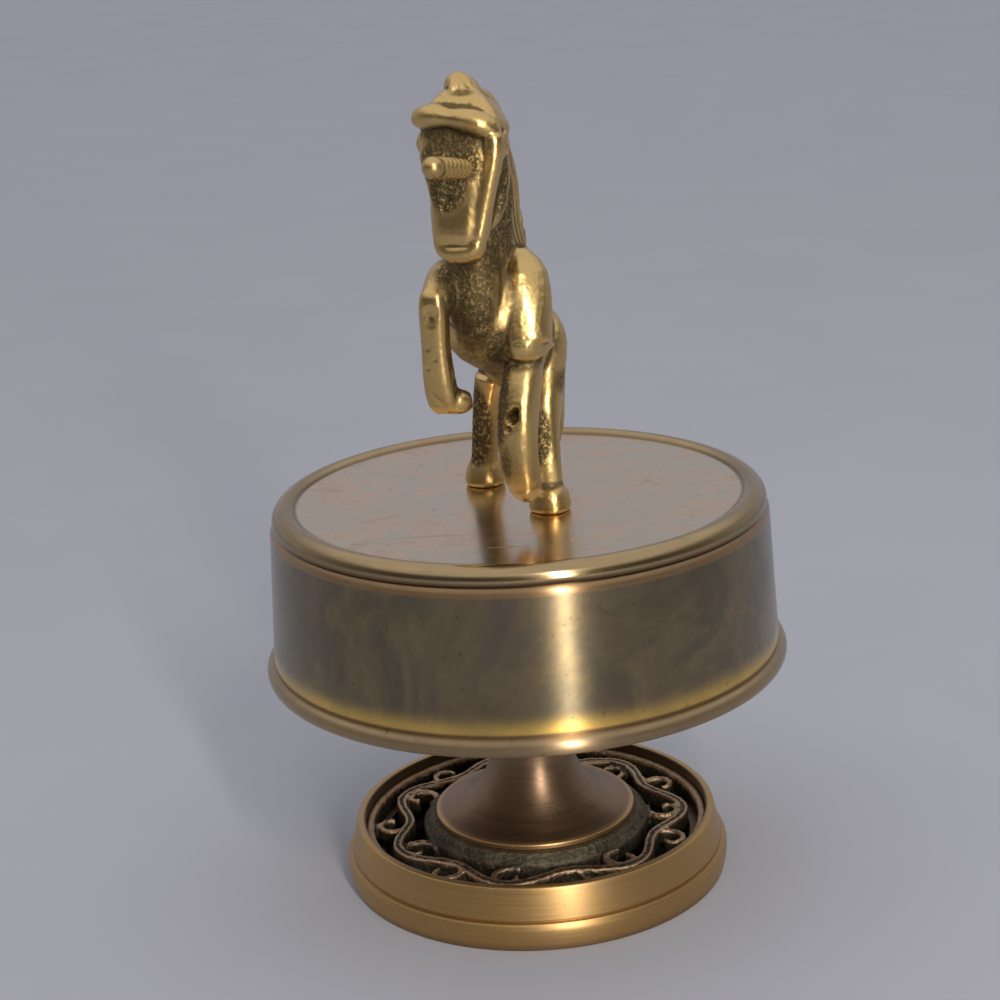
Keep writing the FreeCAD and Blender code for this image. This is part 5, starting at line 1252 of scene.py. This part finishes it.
def forelock_locks():
    """Locks that fan out from the top of the forelock, as points and radius."""
    root_left = 0.4
    root_back = -17.2
    fall = ((1.0, 74.1), (2.4, 73.2), (3.3, 71.8), (4.6, 70.4))
    locks = []
    for lock in range(5):
        facing = math.radians(8 + 29 * lock)
        points = []
        for reach, level in fall:
            left = root_left + reach * math.sin(facing)
            back = root_back - reach * math.cos(facing)
            points.append((left, back, level))
        locks.append((points, LONG_LOCK))
    return locks


def mane_locks():
    """Long locks down the neck's left side and short ones across its crest, as points and radius."""
    locks = []
    fall = ((5.2, -13.6, 63), (5.6, -12.3, 56), (5.1, -10.8, 49.5), (5.6, -9.6, 44.6), (6.8, -8.6, 41.2))
    for lock in range(4):
        locks.append(([(left, back + 1.5 * lock, up) for left, back, up in fall], LONG_LOCK))
    for lock in range(9):
        level = 67.5 - 3.3 * lock
        back = -8.2 + 1.05 * lock
        for side in (-1, 1):
            points = [(1.7, back + 1.6, level + 1.6), (1.7 + 2.2 * side, back + 0.4, level - 0.8),
                      (1.6 + 3.4 * side, back - 1.2, level - 4.2)]
            locks.append((points, SHORT_LOCK))
    return locks


def tail_locks():
    """Locks that run down the tail and meet at its tip, as points and radius."""
    middle = 1.2
    locks = []
    for lock in range(4):
        offset = lock - 1.5
        points = [(middle + 1.3 * offset, 12.5, 26.2), (middle + 1.3 * offset, 16.2, 21.5),
                  (middle + 0.9 * offset, 17.2, 14.5), (middle + 0.7 * offset, 16.2, 7.4),
                  (middle, 14.2, 2.8)]
        locks.append((points, TAIL_LOCK))
    return locks


def cast_finish(context):
    """The finish that the unicorn and its horn share."""
    return bpy.data.materials.get("gritty_brass") or cast_brass(context.scene.music_box_colours)


def stand_figure(piece, sizes):
    """Turns a figure's mesh to its heading and stands it on the top plate."""
    turn = Matrix.Rotation(-sizes.figure_heading, 4, "Z")
    piece.data.transform(Matrix.Translation((0, 0, PLATE_LEVEL * MM)) @ turn)
    piece.data.update()


class MUSIC_BOX_OT_unicorn(bpy.types.Operator):
    """Casts the rearing unicorn from its limbs, hair and the raised border of its face"""

    bl_idname = "music_box.unicorn"
    bl_label = "Unicorn"

    def execute(self, context):
        sizes = context.scene.music_box_sizes
        pieces = [limb(smooth_path(stations), square) for square, stations in LIMBS.values()]
        hair = forelock_locks() + mane_locks() + tail_locks()
        pieces += [strand(points, radius) for points, radius in eyelids() + hair]
        piece = cast("unicorn_cast", pieces, sizes.cast_grain)
        press(piece, PITS)
        for first, last, radius, depth in CREASES:
            run = [Vector(first).lerp(Vector(last), step / 11) for step in range(12)]
            press(piece, [(spot, radius, depth / 2) for spot in run])
        rows = vertex_rows(piece)
        coarse = spread(rows, GRIT)
        above_plate = numpy.clip(rows[:, 2] / 0.6, 0, 1)
        roughen(piece, (SKIN_ROUGHNESS + (1 - SKIN_ROUGHNESS) * coarse) * above_plate, GRIT_SIZE, GRIT_DEPTH)
        store(piece, "grit", coarse)
        # Painted shade under the brow, chest and belly and in creases, with sooty stains in other spots
        store(piece, "soot_and_shade", spread(rows, SOOT_AND_SHADE))
        # Depth below the neighbourhood, which the finish turns into painted shade
        mark_recesses(piece)
        stand_figure(piece, sizes)
        settle(piece, "drum", "cast_brass", cast_finish(context), "unicorn")
        return {"FINISHED"}


class MUSIC_BOX_OT_horn(bpy.types.Operator):
    """Turns the ribbed horn with the ball at its tip"""

    bl_idname = "music_box.horn"
    bl_label = "Horn"

    def execute(self, context):
        sizes = context.scene.music_box_sizes
        ribs = 6
        rib = 1.43
        waist = 1.32
        ball = 1.75
        ball_level = 10.25
        peg = 1.1
        peg_foot = -3.0
        root_level = -0.5
        outline = [(POLE, peg_foot), (peg, peg_foot), (peg, root_level), (1.3, root_level)]
        for place in range(ribs):
            outline += bow((waist, place * rib), (waist, (place + 1) * rib), rise=0.42, pieces=8)
        for step in range(13):
            angle = math.radians(-50 + 140 * step / 12)
            outline.append((max(POLE, ball * math.cos(angle)), ball_level + ball * math.sin(angle)))
        piece = turned("horn_turned", outline, steps=48)
        modify(piece, "SUBSURF", levels=1, render_levels=1)
        rows = vertex_rows(piece)
        away = numpy.hypot(rows[:, 0], rows[:, 1])
        # Painted shade in the valleys between the ribs, through the soot and recess numbers, over a light
        # soot all along
        valley = numpy.clip((1.6 - away) / 0.22, 0, 1) * (rows[:, 2] < 8.8)
        store(piece, "soot_and_shade", 0.25 + 0.75 * valley)
        store(piece, "grit", numpy.full(len(rows), 0.12))
        store(piece, "recess", 0.5 + 0.1 * valley)
        heading = Vector((-0.8, -12, 1.9))
        root = Vector((4, -25.3, 60.8))
        aim = heading.to_track_quat("Z", "Y").to_matrix().to_4x4()
        piece.data.transform(Matrix.Translation(root * MM) @ aim)
        stand_figure(piece, sizes)
        settle(piece, "drum", "cast_brass", cast_finish(context), "horn")
        return {"FINISHED"}


# Solids that stay as they are
NODE_FINISHES = {
    "bright": ("spring_barrel barrel_cover pin_cylinder drive_pinion cylinder_gear great_wheel "
               "governor_frame governor_pinion worm_wheel air_brake_fan inner_bearing outer_bearing"),
    "zinc": "movement_bedplate bottom_cover",
    "steel": "mainspring comb cylinder_arbor governor_arbor worm_shaft winding_arbor",
    "plated": ("pedestal_screw thrust_washer figure_screws barrel_screws bearing_screws comb_screws "
               "governor_screw movement_screws"),
    "dark": "base_plate",
    "felt": "felt_pad",
}


class MUSIC_BOX_OT_movement(bpy.types.Operator):
    """Gives the movement, screws, plates and felt their finishes"""

    bl_idname = "music_box.movement"
    bl_label = "Movement"

    def execute(self, context):
        finishes = {
            "bright": plain_metal("bright_brass", (0.70, 0.50, 0.20), roughness=0.3, lines=3000.0),
            "zinc": plain_metal("zinc_casting", (0.38, 0.33, 0.25), roughness=0.45, lines=900.0),
            "steel": plain_metal("spring_steel", (0.45, 0.45, 0.47), roughness=0.3, lines=4000.0),
            "plated": plain_metal("plated_steel", (0.60, 0.58, 0.54), roughness=0.28, lines=4000.0),
            "dark": plain_metal("dark_sheet", (0.035, 0.030, 0.024), roughness=0.6, lines=1200.0),
            "felt": felt_cloth(),
        }
        for finish, names in NODE_FINISHES.items():
            for name in names.split():
                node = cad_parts[name]
                node.data.materials.clear()
                node.data.materials.append(finishes[finish])
        return {"FINISHED"}


# Stage: sizes and places in metres
FLOOR_WIDTH = 16
WINDOW_PLACE = (0.27, -0.88, 0.44)
WINDOW_SIZE = (0.055, 0.80)
WINDOW_AIM = (0, 0, 0.08)
WINDOW_WARMTH = (1.0, 0.95, 0.86)
WINDOW_POWER = 7.0
ROOM_WALLS = [(0.25, (0.10, 0.095, 0.09)), (0.50, (0.20, 0.20, 0.21)), (0.75, (0.40, 0.40, 0.44))]
ROOM_CEILING = (0.85, 0.85, 0.88)
CAMERA_PLACE = (0, -0.350, 0.17631)
CAMERA_AIM = (-0.00323, 0, 0.06999)
CAMERA_ROLL = -0.0577


class MUSIC_BOX_OT_stage(bpy.types.Operator):
    """Lays the pale floor, sets the room's light and stands the camera"""

    bl_idname = "music_box.stage"
    bl_label = "Stage"

    def execute(self, context):
        self.floor(context)
        self.world(context)
        self.lights(context)
        self.camera(context)
        context.scene.view_settings.view_transform = "Standard"
        return {"FINISHED"}

    def floor(self, context):
        """A wide pale sheet."""
        deselect()
        bpy.ops.mesh.primitive_plane_add(size=FLOOR_WIDTH)
        sheet = context.object
        sheet.name = "floor_sheet"
        material, tree, shader = new_metal("pale_paper", roughness=0.9, metallic=0.0)
        mottle = noise_node(tree, object_place(tree), 14.0, detail=6.0, roughness=0.6)
        colours = context.scene.music_box_colours
        wire(tree, mix_node(tree, mottle, tinted(colours.floor, 0.94), tinted(colours.floor, 1.06)),
             shader.inputs["Base Color"])
        sheet.data.materials.append(material)

    def world(self, context):
        """A grey room: a bright soft ceiling over dim walls."""
        world = bpy.data.worlds.new("studio")
        world.use_nodes = True
        context.scene.world = world
        tree = world.node_tree
        parts = split(tree, tree.nodes.new("ShaderNodeTexCoord").outputs["Generated"])
        walls = ramp_node(tree, scaled(tree, parts[1], 0.5, 0.5), ROOM_WALLS)
        ceiling = between(tree, parts[2], 0.34, 0.72)
        room = mix_node(tree, ceiling, walls, ROOM_CEILING)
        wire(tree, room, tree.nodes["Background"].inputs["Color"])
        tree.nodes["Background"].inputs["Strength"].default_value = 1.0

    def lights(self, context):
        """A tall narrow window at the right front."""
        spot = Vector(WINDOW_PLACE)
        lamp = bpy.data.lights.new("window", "AREA")
        lamp.shape = "RECTANGLE"
        lamp.size, lamp.size_y = WINDOW_SIZE
        lamp.energy = WINDOW_POWER
        lamp.color = WINDOW_WARMTH
        holder = bpy.data.objects.new("window", lamp)
        holder.location = spot
        holder.rotation_euler = (Vector(WINDOW_AIM) - spot).to_track_quat("-Z", "Y").to_euler()
        context.scene.collection.objects.link(holder)

    def camera(self, context):
        """A viewpoint in front and above, a little rolled."""
        data = bpy.data.cameras.new("camera")
        data.lens = context.scene.music_box_sizes.lens
        data.sensor_width = 36
        holder = bpy.data.objects.new("camera", data)
        spot = Vector(CAMERA_PLACE)
        ahead = (Vector(CAMERA_AIM) - spot).normalized()
        right = ahead.cross(Vector((0, 0, 1))).normalized()
        up = right.cross(ahead)
        across = right * math.cos(CAMERA_ROLL) + up * math.sin(CAMERA_ROLL)
        above = up * math.cos(CAMERA_ROLL) - right * math.sin(CAMERA_ROLL)
        matrix = Matrix.Identity(4)
        for row in range(3):
            matrix[row] = (across[row], above[row], -ahead[row], spot[row])
        holder.matrix_world = matrix
        context.scene.collection.objects.link(holder)
        context.scene.camera = holder


OPERATORS = (
    MUSIC_BOX_OT_base_ring,
    MUSIC_BOX_OT_pedestal,
    MUSIC_BOX_OT_scroll_insert,
    MUSIC_BOX_OT_drum_shell,
    MUSIC_BOX_OT_top_cap,
    MUSIC_BOX_OT_unicorn,
    MUSIC_BOX_OT_horn,
    MUSIC_BOX_OT_movement,
    MUSIC_BOX_OT_stage,
)


class MUSIC_BOX_PT_panel(bpy.types.Panel):
    """Lists the steps that dress the music box"""

    bl_idname = "MUSIC_BOX_PT_panel"
    bl_label = "Music box"
    bl_space_type = "VIEW_3D"
    bl_region_type = "UI"
    bl_category = "Music box"

    def draw(self, context):
        column = self.layout.column()
        for operator in OPERATORS:
            column.operator(operator.bl_idname)
        for group in (context.scene.music_box_sizes, context.scene.music_box_colours):
            for name in group.__annotations__:
                column.prop(group, name)


CLASSES = (MusicBoxSizes, MusicBoxColours) + OPERATORS + (MUSIC_BOX_PT_panel,)


def register():
    """Registers the classes and the scene's settings."""
    for entry in CLASSES:
        bpy.utils.register_class(entry)
    bpy.types.Scene.music_box_sizes = PointerProperty(type=MusicBoxSizes)
    bpy.types.Scene.music_box_colours = PointerProperty(type=MusicBoxColours)


def unregister():
    """Takes the settings and classes away again."""
    del bpy.types.Scene.music_box_colours
    del bpy.types.Scene.music_box_sizes
    for entry in reversed(CLASSES):
        bpy.utils.unregister_class(entry)


def main():
    """Registers and dresses every piece in order."""
    register()
    for operator in OPERATORS:
        family, step = operator.bl_idname.split(".")
        getattr(getattr(bpy.ops, family), step)()


if __name__ == "__main__":
    main()
